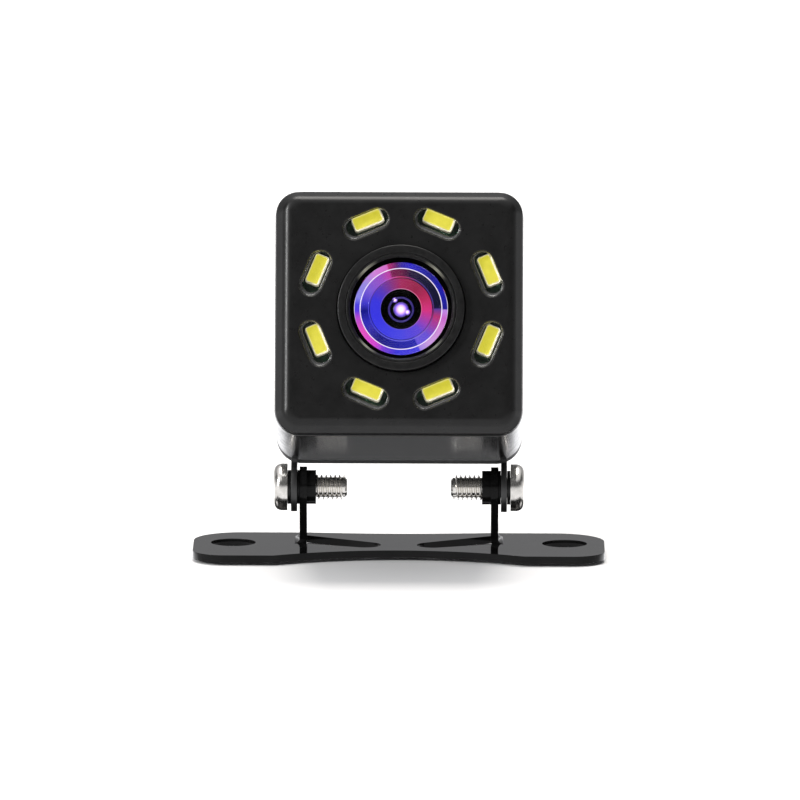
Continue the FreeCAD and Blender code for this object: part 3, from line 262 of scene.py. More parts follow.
def close_flat(mesh, row, material=0):
    """Closes a loop with one face, in the last of the colours that run inwards."""
    around = mesh.loops.layers.uv.verify()
    face = mesh.faces.new(row)
    face.material_index = material
    for loop in face.loops:
        loop[around].uv = (0.5, 1)


def cap(radius, edge, rise, steps=10):
    """The profile of a dome from its rim to just short of its top, as (radius, ahead)."""
    sphere = (radius * radius + rise * rise) / (2 * rise)
    points = []
    for k in range(steps):
        r = radius * (1 - k / steps)
        points.append((r, edge + rise - sphere + math.sqrt(sphere * sphere - r * r)))
    return points


# ---------------------------------------------------------------- finishes


def tone(red, green, blue):
    """A colour given as a screen shows it, in the renderer's own numbers."""
    parts = []
    for part in (red, green, blue):
        part /= 255
        parts.append(part / 12.92 if part <= 0.04045 else ((part + 0.055) / 1.055) ** 2.4)
    return (*parts, 1.0)


class Finish:
    """A material on one Principled shader, with its colour, gloss and relief from nodes."""

    def __init__(self, name, **settings):
        self.material = bpy.data.materials.new(name)
        self.material.use_nodes = True
        self.tree = self.material.node_tree
        self.tree.nodes.clear()
        self.output = self.tree.nodes.new("ShaderNodeOutputMaterial")
        self.shader = self.tree.nodes.new("ShaderNodeBsdfPrincipled")
        self.tree.links.new(self.shader.outputs[0], self.output.inputs[0])
        for socket, setting in settings.items():
            self.shader.inputs[socket.replace("_", " ")].default_value = setting

    def node(self, kind, inputs=None, **settings):
        """A node of a kind, whose inputs are given as sockets or as values."""
        made = self.tree.nodes.new("ShaderNode" + kind)
        for name, setting in settings.items():
            setattr(made, name, setting)
        for name, given in (inputs or {}).items():
            if isinstance(given, bpy.types.NodeSocket):
                self.tree.links.new(given, made.inputs[name])
            else:
                made.inputs[name].default_value = given
        return made

    def noise(self, size, detail=3.0, stretch=(1, 1, 1)):
        """Noise with features of a given size in millimetres, longer where it is stretched."""
        place = self.node("TexCoord").outputs["Object"]
        scale = [1 / (MM * size * s) for s in stretch]
        spread = self.node("Mapping", {"Vector": place, "Scale": scale})
        made = self.node("TexNoise", {"Vector": spread.outputs[0], "Scale": 1.0, "Detail": detail})
        return made.outputs["Fac"]

    def ramp(self, factor, stops):
        """A colour read from stops of (place, colour)."""
        made = self.node("ValToRGB", {"Fac": factor})
        elements = made.color_ramp.elements
        while len(elements) > 1:
            elements.remove(elements[-1])
        elements[0].position, elements[0].color = stops[0]
        for position, colour in stops[1:]:
            elements.new(position).color = colour
        return made.outputs["Color"]

    def colour(self, dark, light, size):
        """A base colour mottled between two tones."""
        mottle = self.noise(size, 4.0)
        shade = self.ramp(mottle, [(0.3, dark), (0.7, light)])
        self.tree.links.new(shade, self.shader.inputs["Base Color"])
        return self

    def roughness(self, low, high, size, stretch=(1, 1, 1)):
        """A gloss that varies between two levels."""
        patches = self.noise(size, 3.0, stretch)
        limits = {"From Min": 0.3, "From Max": 0.7, "To Min": low, "To Max": high}
        spread = self.node("MapRange", {"Value": patches, **limits})
        self.tree.links.new(spread.outputs[0], self.shader.inputs["Roughness"])
        return self

    def relief(self, size, height, stretch=(1, 1, 1)):
        """Bumps of a given size and height, in millimetres."""
        grain = self.noise(size, 2.0, stretch)
        bump = self.node("Bump", {"Height": grain, "Distance": height * MM})
        self.tree.links.new(bump.outputs[0], self.shader.inputs["Normal"])
        return self

    def glow(self, colour, base):
        """Light of its own, from a colour socket, over a plain base."""
        self.shader.inputs["Base Color"].default_value = base
        self.tree.links.new(colour, self.shader.inputs["Emission Color"])
        return self

    def around(self, axis):
        """How far round its loop (X) or from row to row (Y) a place lies."""
        place = self.node("UVMap").outputs[0]
        return self.node("SeparateXYZ", {"Vector": place}).outputs[axis]

    def lets_lamps_through(self):
        """Shadows aren't cast, so that what lies behind clear plastic or glass is lit."""
        path = self.node("LightPath")
        clear = self.node("BsdfTransparent")
        mix = self.node("MixShader", {"Fac": path.outputs["Is Shadow Ray"]})
        self.tree.links.new(self.shader.outputs[0], mix.inputs[1])
        self.tree.links.new(clear.outputs[0], mix.inputs[2])
        self.tree.links.new(mix.outputs[0], self.output.inputs[0])
        return self


def grey(level):
    """A neutral tone."""
    return tone(level, level, level)


def make_finishes():
    """One material for each of the record's slots."""
    made = {}

    def add(slot, **settings):
        made[slot] = Finish(slot, **settings)
        return made[slot]

    add("bracket_paint", Specular_IOR_Level=0.14).colour(
        grey(14), grey(22), 3.0).roughness(0.05, 0.11, 1.4).relief(1.1, 0.0016)
    add("nickel_steel", Metallic=1.0).colour(
        tone(228, 225, 219), tone(248, 245, 240), 0.5).roughness(
        0.16, 0.28, 0.12, (0.3, 3, 3)).relief(0.08, 0.0006, (0.3, 4, 4))
    add("black_steel").colour(grey(20), grey(38), 0.4).roughness(
        0.28, 0.42, 0.2).relief(0.12, 0.001)
    add("black_nylon").colour(grey(14), grey(24), 0.5).roughness(
        0.45, 0.6, 0.25).relief(0.15, 0.001)
    add("cover_black", Specular_IOR_Level=0.3).colour(
        grey(18), grey(25), 2.2).roughness(0.27, 0.34, 0.5).relief(0.09, 0.0012)
    add("shell_black", Specular_IOR_Level=0.7).colour(
        grey(20), grey(30), 2.5).roughness(0.16, 0.24, 0.8).relief(0.4, 0.0008)
    add("rear_black", Specular_IOR_Level=0.95).colour(grey(20), grey(30), 2.0).roughness(
        0.4, 0.48, 0.6).relief(0.12, 0.0012)
    add("gland_rubber").colour(grey(18), grey(34), 0.8).roughness(
        0.55, 0.75, 0.3).relief(0.1, 0.003)
    add("seal_rubber").colour(grey(10), grey(20), 0.8).roughness(
        0.6, 0.8, 0.3).relief(0.1, 0.003)
    add("zinc_steel", Metallic=1.0).colour(
        tone(150, 152, 156), tone(190, 192, 198), 0.3).roughness(
        0.25, 0.42, 0.15).relief(0.08, 0.001)
    add("window_clear", Transmission_Weight=1.0, IOR=1.3).colour(
        grey(246), grey(254), 0.8).roughness(0.02, 0.06, 0.4).lets_lamps_through()
    # the LED package glows a little: painted light
    add("led_package", Emission_Color=tone(240, 236, 200), Emission_Strength=0.12).colour(
        tone(214, 209, 186), tone(228, 222, 202), 0.4).roughness(
        0.4, 0.55, 0.2).relief(0.06, 0.001)
    add("board_green").colour(tone(8, 38, 24), tone(14, 58, 34), 0.5).roughness(
        0.3, 0.42, 0.3).relief(0.3, 0.004)
    add("chip_black").colour(grey(22), grey(34), 0.3).roughness(
        0.45, 0.6, 0.15).relief(0.05, 0.001)
    add("sensor_glass", Coat_Weight=1.0).colour(
        tone(18, 30, 44), tone(40, 44, 70), 0.6).roughness(0.1, 0.16, 0.4)
    add("barrel_black", Specular_IOR_Level=0.3).colour(grey(16), grey(26), 0.6).roughness(
        0.3, 0.4, 0.3).relief(0.07, 0.0012)
    add("lens_glass", Transmission_Weight=1.0, IOR=1.2).colour(
        tone(244, 246, 255), grey(255), 2.0).roughness(0.03, 0.04, 1.0).lets_lamps_through()
    add("filter_glass", Transmission_Weight=1.0, IOR=1.3).colour(
        tone(150, 190, 210), tone(170, 205, 220), 1.0).roughness(0.0, 0.03, 0.6).lets_lamps_through()
    add("lens_black", Specular_IOR_Level=0.0).colour(grey(1), grey(4), 0.5).roughness(
        0.6, 0.75, 0.2).relief(0.06, 0.002)
    add("brass_pillar", Metallic=1.0).colour(
        tone(196, 160, 84), tone(222, 188, 110), 0.4).roughness(
        0.2, 0.34, 0.1, (3, 0.3, 3)).relief(0.06, 0.001)
    add("capacitor_can", Metallic=1.0).colour(
        tone(170, 172, 176), tone(206, 208, 212), 0.5).roughness(0.22, 0.36, 0.2)
    add("inductor_ferrite").colour(grey(40), grey(62), 0.25).roughness(
        0.6, 0.75, 0.15).relief(0.07, 0.003)
    add("connector_white").colour(tone(214, 208, 190), tone(232, 226, 210), 0.6).roughness(
        0.4, 0.5, 0.3).relief(0.1, 0.001)
    return made


finishes = make_finishes()


# ---------------------------------------------------------------- nodes that keep their CAD shape


def dress_nodes():
    """Gives every CAD node its slot's material."""
    slots = {part["node"]: part["material_slot"] for part in frame["record"]["subparts"]}
    for name, piece in frame["nodes"].items():
        piece.data.materials.clear()
        piece.data.materials.append(finishes[slots[name]].material)


def soften(name, width):
    """Rounds the sharp edges of a CAD node to a width in millimetres."""
    piece = frame["nodes"][name]
    if "custom_normal" in piece.data.attributes:
        piece.data.attributes.remove(piece.data.attributes["custom_normal"])
    piece.data.shade_smooth()
    weld = piece.modifiers.new("weld", "WELD")
    weld.merge_threshold = 2e-6
    flat = piece.modifiers.new("join_flat_faces", "DECIMATE")
    flat.decimate_type = "DISSOLVE"
    flat.angle_limit = math.radians(1)
    edge = piece.modifiers.new("round_edges", "BEVEL")
    edge.width = width * MM
    edge.segments = 3
    edge.limit_method = "ANGLE"
    edge.angle_limit = SHARP_ANGLE
    edge.harden_normals = False
    edge.use_clamp_overlap = True
    weigh_normals(piece)


dress_nodes()
for node_name, edge_width in (
    ("bracket", 0.14),
    ("body_shell", 0.18),
    ("rear_cover", 0.12),
    ("spring_washer_left", 0.04),
    ("spring_washer_right", 0.04),
    ("friction_washer_left", 0.04),
    ("friction_washer_right", 0.04),
    ("cable_gland", 0.1),
    ("case_screws", 0.05),
):
    soften(node_name, edge_width)


# ---------------------------------------------------------------- front cover


def window_places():
    """The angle and centre of each window, clockwise from the top."""
    places = []
    for number in range(WINDOW_COUNT):
        angle = 2 * math.pi * (number + 0.5) / WINDOW_COUNT
        centre = Vector((math.sin(angle), math.cos(angle))) * RING_RADIUS
        places.append((angle, centre))
    return places


# a window's opening narrows to a smaller one that sits higher and to the right
OPENING_HALF_LENGTH = 2.18
OPENING_HALF_WIDTH = 0.93
OPENING_SHIFT = (0.12, 0.2)
LEDGE_START = 0.28
LEDGE_DEPTH = 0.66
LIP_RADIUS = 0.12
LIP_STEPS = 4


def window_rings(angle, centre):
    """Loops from the face of the cover into a window."""
    # how much larger than the slot, how deep, how much of the narrowing
    levels = [(LIP_RADIUS + 0.04, 0, 0)]
    for k in range(LIP_STEPS + 1):
        turn = math.pi / 2 * k / LIP_STEPS
        levels.append((LIP_RADIUS * (1 - math.sin(turn)), LIP_RADIUS * (1 - math.cos(turn)), 0))
    ledge_steps = LIP_STEPS + 2
    for k in range(ledge_steps + 1):
        turn = math.pi / 2 * k / ledge_steps
        deeper = (LEDGE_DEPTH - LEDGE_START) * math.sin(turn)
        levels.append((0, LEDGE_START + deeper, 1 - math.cos(turn)))
    levels.append((0, COVER_PLATE, 1))
    rings = []
    for grown, depth, share in levels:
        half_length = WINDOW_HALF_LENGTH + grown - share * (WINDOW_HALF_LENGTH - OPENING_HALF_LENGTH)
        half_width = WINDOW_HALF_WIDTH + grown - share * (WINDOW_HALF_WIDTH - OPENING_HALF_WIDTH)
        outline = turned_by(slot_outline(half_length, half_width), angle)
        shift = centre + Vector(OPENING_SHIFT) * share
        rings.append(at_depth(moved_by(outline, shift), FRONT_FACE - depth))
    return rings


def make_front_cover():
    """The moulded front: bevelled rim, lens hole and eight windows in a flat face."""
    mesh = bmesh.new()
    profile = rounded(
        [
            (COVER_WALL, FRONT_FACE - COVER_PLATE, 0),
            (COVER_WALL, COVER_BACK, 0),
            (0, COVER_BACK, EDGE_RADIUS),
            (0, FRONT_FACE - BEVEL_DEPTH, BEVEL_OUTER_RADIUS),
            (BEVEL_SIDE, FRONT_FACE, BEVEL_INNER_RADIUS),
            (BEVEL_SIDE + 2, FRONT_FACE, 0),
        ],
        steps=9,
    )
    # the flat face starts right behind the last arc, clear of the windows
    profile[-1] = (profile[-2].x + 0.02, FRONT_FACE)
    rings = []
    for inset, ahead in profile:
        share = inset / BEVEL_SIDE
        outline = frame_outline(
            COVER_HALF_WIDTH - inset,
            COVER_HALF_HEIGHT - share * BEVEL_TOP,
            COVER_CORNER - min(share, 1) * (COVER_CORNER - COVER_INNER_CORNER),
        )
        rings.append(at_depth(moved_by(outline, (CASE_X, CASE_Z)), ahead))
    rows = skin(mesh, rings)
    front, back = [rows[-1]], [rows[0]]
    for angle, centre in window_places():
        rings = window_rings(angle, centre)
        lip = skin(mesh, rings[: LIP_STEPS + 1])
        wall = skin(mesh, rings[LIP_STEPS + 1 :], material=1)
        join_rows(mesh, [lip[-1], wall[0]], material=1)
        front.append(lip[0])
        back.append(wall[-1])
    hole = lathe(
        mesh,
        rounded(
            [
                (BEZEL_HOLE + 0.3, FRONT_FACE, 0),
                (BEZEL_HOLE, FRONT_FACE, 0.1),
                (BEZEL_HOLE, FRONT_FACE - COVER_PLATE, 0),
            ]
        ),
        wrap=False,
    )
    front.append(hole[0])
    back.append(hole[-1])
    fill(mesh, front)
    fill(mesh, back)
    # the window walls are a lighter grey than the cover's black: painted light for the light they catch
    painted_light_wall_finish = Finish("slot_wall_painted_light", Specular_IOR_Level=0.9).colour(
        grey(48), grey(64), 0.6).roughness(0.2, 0.3, 0.5)
    materials = [finishes["cover_black"].material, painted_light_wall_finish.material]
    piece = finish_piece("front_cover_moulding", mesh, materials, "camera")
    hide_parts("front_cover")


make_front_cover()


# ---------------------------------------------------------------- light ring


def make_window(number, angle, centre):
    """The clear cap that closes one window, a little domed."""
    mesh = bmesh.new()
    play = 0.01
    front, back = FRONT_FACE - LEDGE_DEPTH + 0.02, LED_TOP + 0.06
    flat_back = ((0.3, back), (0, back))
    dome = ((0, front - 0.05), (0.05, front), (0.3, front + 0.03), (0.6, front + 0.04))
    rings = []
    for inset, ahead in flat_back + dome:
        outline = slot_outline(OPENING_HALF_LENGTH - play - inset, OPENING_HALF_WIDTH - play - inset)
        placed = moved_by(turned_by(outline, angle), centre + Vector(OPENING_SHIFT))
        rings.append(at_depth(placed, ahead))
    rows = skin(mesh, rings)
    fill(mesh, [rows[0]])
    fill(mesh, [rows[-1]])
    piece = finish_piece(f"window_cap_{number}", mesh, [finishes["window_clear"].material], "camera")
    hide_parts(f"led_window_{number}")


def phosphor():
    """Yellow phosphor that fades to cream where it meets the package, glowing with painted light."""
    # the glow is painted light: the LED is not lit
    made = Finish("led_phosphor_painted_glow", Roughness=0.45, Emission_Strength=0.72)
    grain = made.noise(0.12, 2.0)
    wobble = made.node("MapRange", {"Value": grain, "To Min": -0.12, "To Max": 0.12})
    edge = made.node("Math", {0: made.around("Y"), 1: wobble.outputs[0]}, operation="ADD")
    shade = made.ramp(
        edge.outputs[0],
        [(0.0, tone(250, 246, 200)), (0.3, tone(244, 236, 110)), (0.6, tone(236, 228, 60))],
    )
    return made.glow(shade, tone(120, 112, 40)).relief(0.1, 0.004).material


def make_led(number, angle, centre, package, light):
    """A surface-mounted LED: a pale package round a sunk bed of phosphor."""
    mesh = bmesh.new()
    middle = centre + Vector(LED_SHIFT)
    base = LED_TOP - LED_HEIGHT
    # the phosphor's bed lies off centre, so that the rim is wide below and to the right
    lean = turned_by([Vector((-0.04, 0.04))], -angle)[0]

    def ring(inset, radius, ahead, shift=(0, 0)):
        """A loop a little inside the package's outline."""
        outline = frame_outline(LED_HALF_LENGTH - inset, LED_HALF_WIDTH - inset, radius, 4)
        return at_depth(moved_by(turned_by(moved_by(outline, shift), angle), middle), ahead)

    package_rings = [
        ring(0, 0.3, base),
        ring(0, 0.3, LED_TOP - 0.06),
        ring(0.01, 0.3, LED_TOP - 0.02),
        ring(0.03, 0.28, LED_TOP),
        ring(LED_RIM, 0.26, LED_TOP, lean),
        ring(LED_RIM + 0.02, 0.26, LED_TOP - 0.02, lean),
    ]
    rows = skin(mesh, package_rings)
    bed = [rows[-1]]
    for inset, depth in ((0.06, 0.045), (0.14, 0.04), (0.26, 0.03), (0.4, 0.02)):
        loop = ring(LED_RIM + inset, 0.15, LED_TOP - depth, lean)
        bed.append([mesh.verts.new(point) for point in loop])
    join_rows(mesh, bed, material=1)
    close_flat(mesh, bed[-1], material=1)
    mesh.faces.new(rows[0])
    piece = finish_piece(f"led_lamp_{number}", mesh, [package, light], "camera")
    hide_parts(f"led_{number}")


led_painted_glow = phosphor()
for count, (place_angle, place_centre) in enumerate(window_places(), start=1):
    make_window(count, place_angle, place_centre)
    make_led(count, place_angle, place_centre, finishes["led_package"].material, led_painted_glow)


# ---------------------------------------------------------------- lens


def make_bezel():
    """The barrel's head and threaded body."""
    mesh = bmesh.new()
    profile = rounded(
        [
            (BEZEL_RADIUS, BEZEL_BACK, 0),
            (BEZEL_RADIUS, BEZEL_FRONT, EDGE_RADIUS),
            (SEAT_RADIUS, BEZEL_FRONT, 0.04),
            (SEAT_RADIUS, SEAT_BOTTOM, 0),
            (BARREL_BORE, SEAT_BOTTOM, 0),
            (BARREL_BORE, BARREL_BACK, 0),
            (BARREL_THREAD - 0.1, BARREL_BACK, 0),
            (BARREL_THREAD, BARREL_BACK + 0.1, 0),
            (BARREL_THREAD, BEZEL_BACK, 0),
        ],
        closed=True,
    )
    lathe(mesh, profile)
    piece = finish_piece("lens_bezel", mesh, [finishes["barrel_black"].material], "camera")
    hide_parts("lens_barrel")


def make_lens_ring():
    """The ring that holds the front lens: a short funnel above a deep black step."""
    mesh = bmesh.new()
    profile = rounded(
        [
            (CLAMP_RADIUS, CLAMP_BACK, 0),
            (CLAMP_RADIUS, CLAMP_FRONT, 0.05),
            (5.26, CLAMP_FRONT, 0.05),
            (5.05, 19.9, 0.05),
            (4.98, 19.5, 0.03),
            (CLAMP_BORE, 19.3, 0.02),
            (CLAMP_BORE, CLAMP_BACK, 0),
        ],
        closed=True,
    )
    rows = lathe(mesh, profile, wrap=False)
    join_rows(mesh, [rows[-1], rows[0]])
    for face in mesh.faces:
        radius = face.calc_center_median().xz.length
        if radius < CLAMP_FUNNEL:
            face.material_index = 1
        elif radius > CLAMP_RIM:
            face.material_index = 2
    materials = [clamp_finish_with_painted_glints(), finishes["lens_black"].material, finishes["barrel_black"].material]
    piece = finish_piece("lens_clamp_ring", mesh, materials, "camera")
    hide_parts("retaining_ring")


def clamp_finish_with_painted_glints():
    """Half-bright black with painted glints that glow at four hours round the ring."""
    made = glowing_painted_reflection("clamp_ring_black_painted_glints", PAINTED_GLINTS, 0.5)
    made.shader.inputs["Metallic"].default_value = 0.6
    made.colour(grey(30), grey(46), 0.5).roughness(0.26, 0.36, 0.2).relief(0.05, 0.001)
    return made.material


# every table below is a tuple of (hour on a clock, colour): painted glints, and painted reflections of
# the lens coatings
# painted glints: bright colour at four hours round the ring stands in for reflections of lamps
PAINTED_GLINTS = (
    (0.0, (14, 14, 12)), (0.9, (14, 14, 12)), (1.45, (190, 188, 170)), (1.9, (16, 16, 14)),
    (4.2, (12, 12, 12)), (4.6, (176, 180, 160)), (5.1, (40, 42, 38)), (6.0, (52, 54, 50)),
    (6.9, (40, 42, 38)), (7.4, (190, 192, 172)), (7.8, (12, 12, 12)), (10.1, (14, 14, 12)),
    (10.55, (186, 184, 166)), (11.1, (14, 14, 12)), (12.0, (14, 14, 12)),
)


def make_front_lens():
    """The domed front lens, a thin shell of glass."""
    mesh = bmesh.new()
    outer_edge, outer_rise = 19.42, 0.8
    inner_edge, inner_rise = 19.34, 0.5
    outside = cap(GLASS_RADIUS, outer_edge, outer_rise)
    inside = cap(GLASS_RADIUS - 0.05, inner_edge, inner_rise)
    rows = lathe(mesh, list(reversed(inside)) + outside, wrap=False)
    close_pole(mesh, rows[0], inner_edge + inner_rise)
    close_pole(mesh, rows[-1], outer_edge + outer_rise)
    piece = finish_piece(
        "lens_front_glass", mesh, [finishes["lens_glass"].material], "camera", weighted=False
    )
    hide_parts("front_lens")


def glowing_painted_reflection(name, stops, strength):
    """Painted reflections of a lens coating: a glowing colour that goes round the axis."""
    made = Finish(name, Roughness=0.25, Emission_Strength=strength, Specular_IOR_Level=0.03)
    shade = made.ramp(made.around("X"), [(hour / 12, tone(*colour)) for hour, colour in stops])
    return made.glow(shade, grey(8))


# painted reflections: the coloured rings that the lens coatings reflect, painted round the axis and
# made to glow
OUTER_PAINTED_REFLECTION = (
    (0.0, (60, 40, 165)), (0.4, (52, 46, 205)), (1.3, (34, 30, 150)), (2.2, (28, 28, 180)),
    (3.02, (34, 30, 150)), (3.05, (205, 150, 240)), (3.4, (214, 110, 215)), (4.0, (226, 150, 224)),
    (4.7, (214, 165, 235)), (5.15, (170, 140, 240)), (5.2, (76, 66, 232)), (6.2, (62, 56, 226)),
    (6.8, (130, 62, 222)), (7.2, (226, 70, 216)), (8.0, (240, 84, 200)), (8.6, (196, 80, 220)),
    (8.9, (92, 62, 236)), (9.2, (84, 74, 236)), (9.5, (150, 146, 246)), (10.2, (168, 148, 236)),
    (10.8, (222, 136, 226)), (11.38, (234, 116, 210)), (11.44, (196, 40, 120)), (11.8, (96, 30, 110)),
    (12.0, (60, 40, 165)),
)
MIDDLE_PAINTED_REFLECTION = (
    (0.0, (112, 26, 72)), (0.5, (40, 20, 62)), (1.2, (22, 20, 56)), (2.8, (18, 18, 50)),
    (2.95, (26, 22, 70)), (3.0, (96, 62, 160)), (3.4, (196, 56, 120)), (3.9, (170, 66, 170)),
    (4.5, (112, 84, 222)), (5.15, (110, 90, 230)), (5.2, (40, 38, 180)), (6.0, (30, 28, 168)),
    (7.2, (28, 24, 128)), (7.9, (60, 50, 180)), (8.3, (50, 44, 190)), (8.9, (18, 18, 138)),
    (9.3, (70, 62, 214)), (10.0, (128, 96, 224)), (10.9, (164, 84, 204)), (11.4, (206, 66, 170)),
    (11.5, (132, 30, 84)), (12.0, (112, 26, 72)),
)
LINE_PAINTED_REFLECTION = (
    (0.0, (214, 60, 110)), (1.0, (96, 60, 140)), (2.5, (70, 58, 150)), (3.2, (120, 40, 90)),
    (4.2, (150, 92, 200)), (5.2, (120, 110, 240)), (7.0, (96, 92, 232)), (8.4, (60, 56, 220)),
    (9.5, (84, 74, 230)), (11.0, (176, 96, 220)), (11.6, (220, 80, 160)), (12.0, (214, 60, 110)),
)
PUPIL_PAINTED_REFLECTION = (
    (0.0, (230, 150, 190)), (1.5, (244, 130, 170)), (3.0, (250, 120, 160)), (4.5, (170, 110, 220)),
    (6.0, (110, 96, 230)), (9.0, (88, 80, 220)), (10.8, (150, 100, 210)), (12.0, (230, 150, 190)),
)
INNER_PAINTED_REFLECTION = (
    (0.0, (176, 44, 96)), (1.2, (160, 40, 78)), (2.2, (196, 46, 96)), (3.1, (226, 56, 136)),
    (3.8, (180, 66, 176)), (4.6, (104, 76, 222)), (6.0, (76, 72, 236)), (8.0, (62, 60, 240)),
    (9.6, (62, 58, 232)), (10.5, (96, 60, 190)), (11.3, (140, 54, 136)), (12.0, (176, 44, 96)),
)


def make_optics():
    """The coloured rings seen through the front lens, round the aperture: painted, glowing reflections
    of the coatings.
    """
    materials = [
        glowing_painted_reflection("painted_reflection_outer", OUTER_PAINTED_REFLECTION, 0.9).material,
        glowing_painted_reflection("painted_reflection_middle", MIDDLE_PAINTED_REFLECTION, 0.9).material,
        glowing_painted_reflection("painted_reflection_inner", INNER_PAINTED_REFLECTION, 0.9).material,
        painted_glow("painted_reflection_edge", tone(244, 228, 255), tone(255, 246, 255), 1.0),
        glowing_painted_reflection("painted_reflection_line", LINE_PAINTED_REFLECTION, 0.9).material,
        glowing_painted_reflection("pupil_rim_painted_reflection", PUPIL_PAINTED_REFLECTION, 0.9).material,
        finishes["lens_black"].material,
        painted_glow("iris_ring_painted_glow", tone(60, 44, 150), tone(92, 70, 196), 0.42),
        glowing_painted_reflection("painted_reflection_groove", MIDDLE_PAINTED_REFLECTION, 0.45).material,
    ]
    mesh = bmesh.new()
    # profiles of (radius, ahead) from the edge inwards, each with the number of its material
    bands = (
        (((4.62, 19.26), (4.08, 19.22)), 0),
        (((4.08, 19.22), (4.07, 19.25), (4.035, 19.27), (4.0, 19.25), (3.99, 19.21)), 3),
        (((3.99, 19.21), (3.6, 19.18), (3.25, 19.14)), 1),
        (((3.25, 19.14), (3.2, 19.17), (3.14, 19.13)), 4),
        (((3.14, 19.13), (3.1, 19.08), (3.05, 19.09)), 8),
        (((3.05, 19.09), (2.6, 19.08), (2.06, 19.03)), 2),
        (((2.06, 19.03), (2.03, 19.05), (2.0, 19.02)), 5),
        (((2.0, 19.02), (1.94, 18.9), (1.8, 18.8), (1.28, 18.72)), 6),
        (((1.28, 18.72), (1.24, 18.78), (1.18, 18.8), (1.12, 18.78), (1.07, 18.7)), 7),
        (((1.07, 18.7), (0.9, 18.66), (0.7, 18.68)), 6),
    )
    row = None
    for profile, material in bands:
        rows = lathe(mesh, profile[1:] if row else profile, wrap=False, material=material)
        if row:
            join_rows(mesh, [row, rows[0]], material=material)
        row = rows[-1]
    close_pole(mesh, row, 18.68, 6)
    backs = lathe(mesh, ((4.62, 19.26), (4.62, 18.5)), wrap=False, material=6)
    close_pole(mesh, backs[-1], 18.5, 6)
    bmesh.ops.remove_doubles(mesh, verts=mesh.verts, dist=1e-5)
    piece = finish_piece("lens_painted_reflection_rings", mesh, materials, "camera", sharp=math.radians(30))
    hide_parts("second_lens")


def painted_glow(name, dark, light, strength):
    """A painted reflection that glows in nearly one colour."""
    made = Finish(name, Roughness=0.2, Emission_Strength=strength)
    shade = made.ramp(made.noise(0.8), [(0.3, dark), (0.7, light)])
    return made.glow(shade, grey(8)).material


def painted_glint_finish():
    """A painted glint: a pale glow that is brightest in its middle."""
    made = Finish("lens_bead_painted_glint", Roughness=0.15, Emission_Strength=1.3)
    stops = [
        (0.0, tone(26, 16, 70)),
        (0.3, tone(122, 84, 220)),
        (0.6, tone(230, 184, 250)),
        (0.85, tone(255, 236, 240)),
    ]
    return made.glow(made.ramp(made.around("Y"), stops), grey(8)).material


def make_beads():
    """The small inner lens and the bright points beside it, all glowing with painted glints."""
    finish = painted_glint_finish()
    # every bead glows with a painted glint
    # name, place (x, z), radius, its edge's place ahead, its rise
    beads = (
        ("lens_core", 0.0, 0.0, 0.76, 18.68, 0.17),
        ("lens_painted_glint_1", -0.6, 0.95, 0.27, 18.72, 0.08),
        ("lens_painted_glint_2", 0.62, -0.25, 0.3, 18.72, 0.09),
    )
    for name, x, z, radius, edge, rise in beads:
        mesh = bmesh.new()
        rings = [circle(r, ahead, 48, x, z) for r, ahead in cap(radius, edge, rise, 8)]
        rows = skin(mesh, rings)
        close_flat(mesh, rows[-1])
        mesh.faces.new(rows[0])
        piece = finish_piece(name, mesh, [finish], "camera", weighted=False)


make_bezel()
make_lens_ring()
make_front_lens()
make_optics()
make_beads()


# ---------------------------------------------------------------- studio


def make_stage():
    """A pale floor."""
    mesh = bmesh.new()
    reach, level = 4000, -0.3
    corners = ((-reach, -reach), (reach, -reach), (reach, reach), (-reach, reach))
    mesh.faces.new([mesh.verts.new(Vector((x, y, level)) * MM) for x, y in corners])
    data = bpy.data.meshes.new("studio_floor")
    mesh.to_mesh(data)
    mesh.free()
    data.shade_smooth()
    floor = bpy.data.objects.new("studio_floor", data)
    bpy.context.scene.collection.objects.link(floor)
    paper = Finish("studio_paper", Roughness=0.9).colour(grey(243), grey(246), 400.0)
    data.materials.append(paper.material)
    floor.visible_glossy = False


def add_light(name, place, target, size, power, colour=(1, 1, 1)):
    """A soft lamp at a place, in millimetres, turned to a target."""
    data = bpy.data.lights.new(name, "AREA")
    data.shape = "RECTANGLE"
    data.size, data.size_y = size[0] * MM, size[1] * MM
    data.energy = power
    data.color = colour
    lamp = bpy.data.objects.new(name, data)
    bpy.context.scene.collection.objects.link(lamp)
    lamp.location = Vector(place) * MM
    lamp.rotation_euler = (Vector(target) - Vector(place)).to_track_quat("-Z", "Y").to_euler()


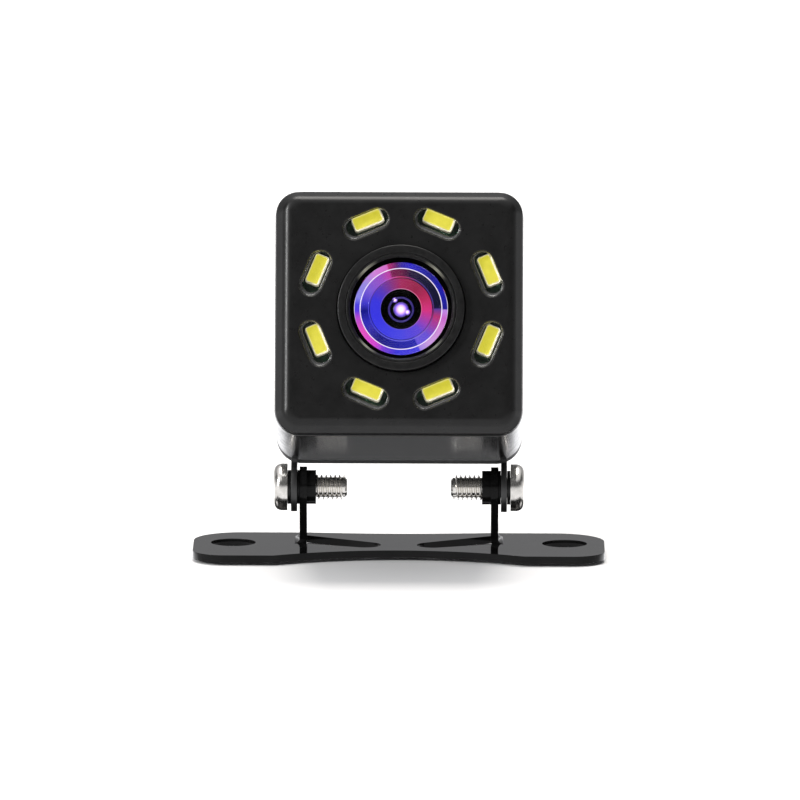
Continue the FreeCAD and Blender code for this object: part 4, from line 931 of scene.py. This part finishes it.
def make_world():
    """The room round the object, whose glow depends on the height, in front and behind."""
    world = bpy.data.worlds.new("studio")
    world.use_nodes = True
    tree = world.node_tree
    place = tree.nodes.new("ShaderNodeTexCoord")
    apart = tree.nodes.new("ShaderNodeSeparateXYZ")
    tree.links.new(place.outputs["Generated"], apart.inputs[0])

    def spread(output, low, high):
        """One part of the direction, spread over 0 to 1."""
        made = tree.nodes.new("ShaderNodeMapRange")
        made.inputs["From Min"].default_value = low
        made.inputs["From Max"].default_value = high
        tree.links.new(apart.outputs[output], made.inputs["Value"])
        return made.outputs[0]

    def glow(stops):
        """The glow at each height, as a colour socket."""
        made = tree.nodes.new("ShaderNodeValToRGB")
        tree.links.new(spread("Z", -1, 1), made.inputs["Fac"])
        elements = made.color_ramp.elements
        elements.remove(elements[1])
        for height, level in stops:
            elements.new((height + 1) / 2).color = (level, level, level * 1.02, 1)
        elements.remove(elements[0])
        return made.outputs["Color"]

    mix = tree.nodes.new("ShaderNodeMix")
    mix.data_type = "RGBA"
    tree.links.new(spread("Y", 0.3, 0.5), mix.inputs["Factor"])
    tree.links.new(glow(GLOW_IN_FRONT), mix.inputs["A"])
    tree.links.new(glow(GLOW_BEHIND), mix.inputs["B"])
    tree.links.new(mix.outputs["Result"], tree.nodes["Background"].inputs["Color"])
    bpy.context.scene.world = world


# (height of the direction, from -1 straight down to 1 straight up; glow)
GLOW_IN_FRONT = ((-0.5, 0.95), (0.0, 0.9), (0.16, 0.6), (0.28, 0.08), (0.58, 0.08), (0.74, 0.8))
GLOW_BEHIND = ((-0.4, 0.06), (-0.28, 2.0), (-0.12, 2.0), (0.06, 0.44), (0.5, 0.3), (0.75, 0.8))


def make_lights():
    """The room's glow, a broad lamp above and a narrow one low on the left."""
    make_world()
    add_light("lamp_above", (0, 450, 2150), (0, 50, 0), (1400, 1500), 46, (1, 0.965, 0.93))
    add_light("lamp_left", (-663, -447, 400), (0, 0, 25), (80, 380), 5.5)


def make_camera():
    """A long lens far in front of the object and a little above it."""
    azimuth, elevation, roll = math.radians(0.264), math.radians(9.057), math.radians(0.182)
    distance = 1500
    aim_right, aim_up = 0.067, 8.738  # from the pivot, across the view
    data = bpy.data.cameras.new("view")
    data.lens = 674.3
    data.sensor_width = 36
    data.clip_start, data.clip_end = 0.01, 20
    level = math.cos(elevation)
    back = Vector((math.sin(azimuth) * level, -math.cos(azimuth) * level, math.sin(elevation)))
    turn = (-back).to_track_quat("-Z", "Y").to_matrix()
    centre = Vector((0, 0, PIVOT_HEIGHT)) + turn.col[0] * aim_right + turn.col[1] * aim_up
    place = turn.to_4x4() @ Matrix.Rotation(roll, 4, "Z")
    place.translation = (centre + back * distance) * MM
    camera = bpy.data.objects.new("view", data)
    camera.matrix_world = place
    bpy.context.scene.collection.objects.link(camera)
    bpy.context.scene.camera = camera


make_stage()
make_lights()
make_camera()
bpy.context.scene.view_settings.view_transform = "Standard"
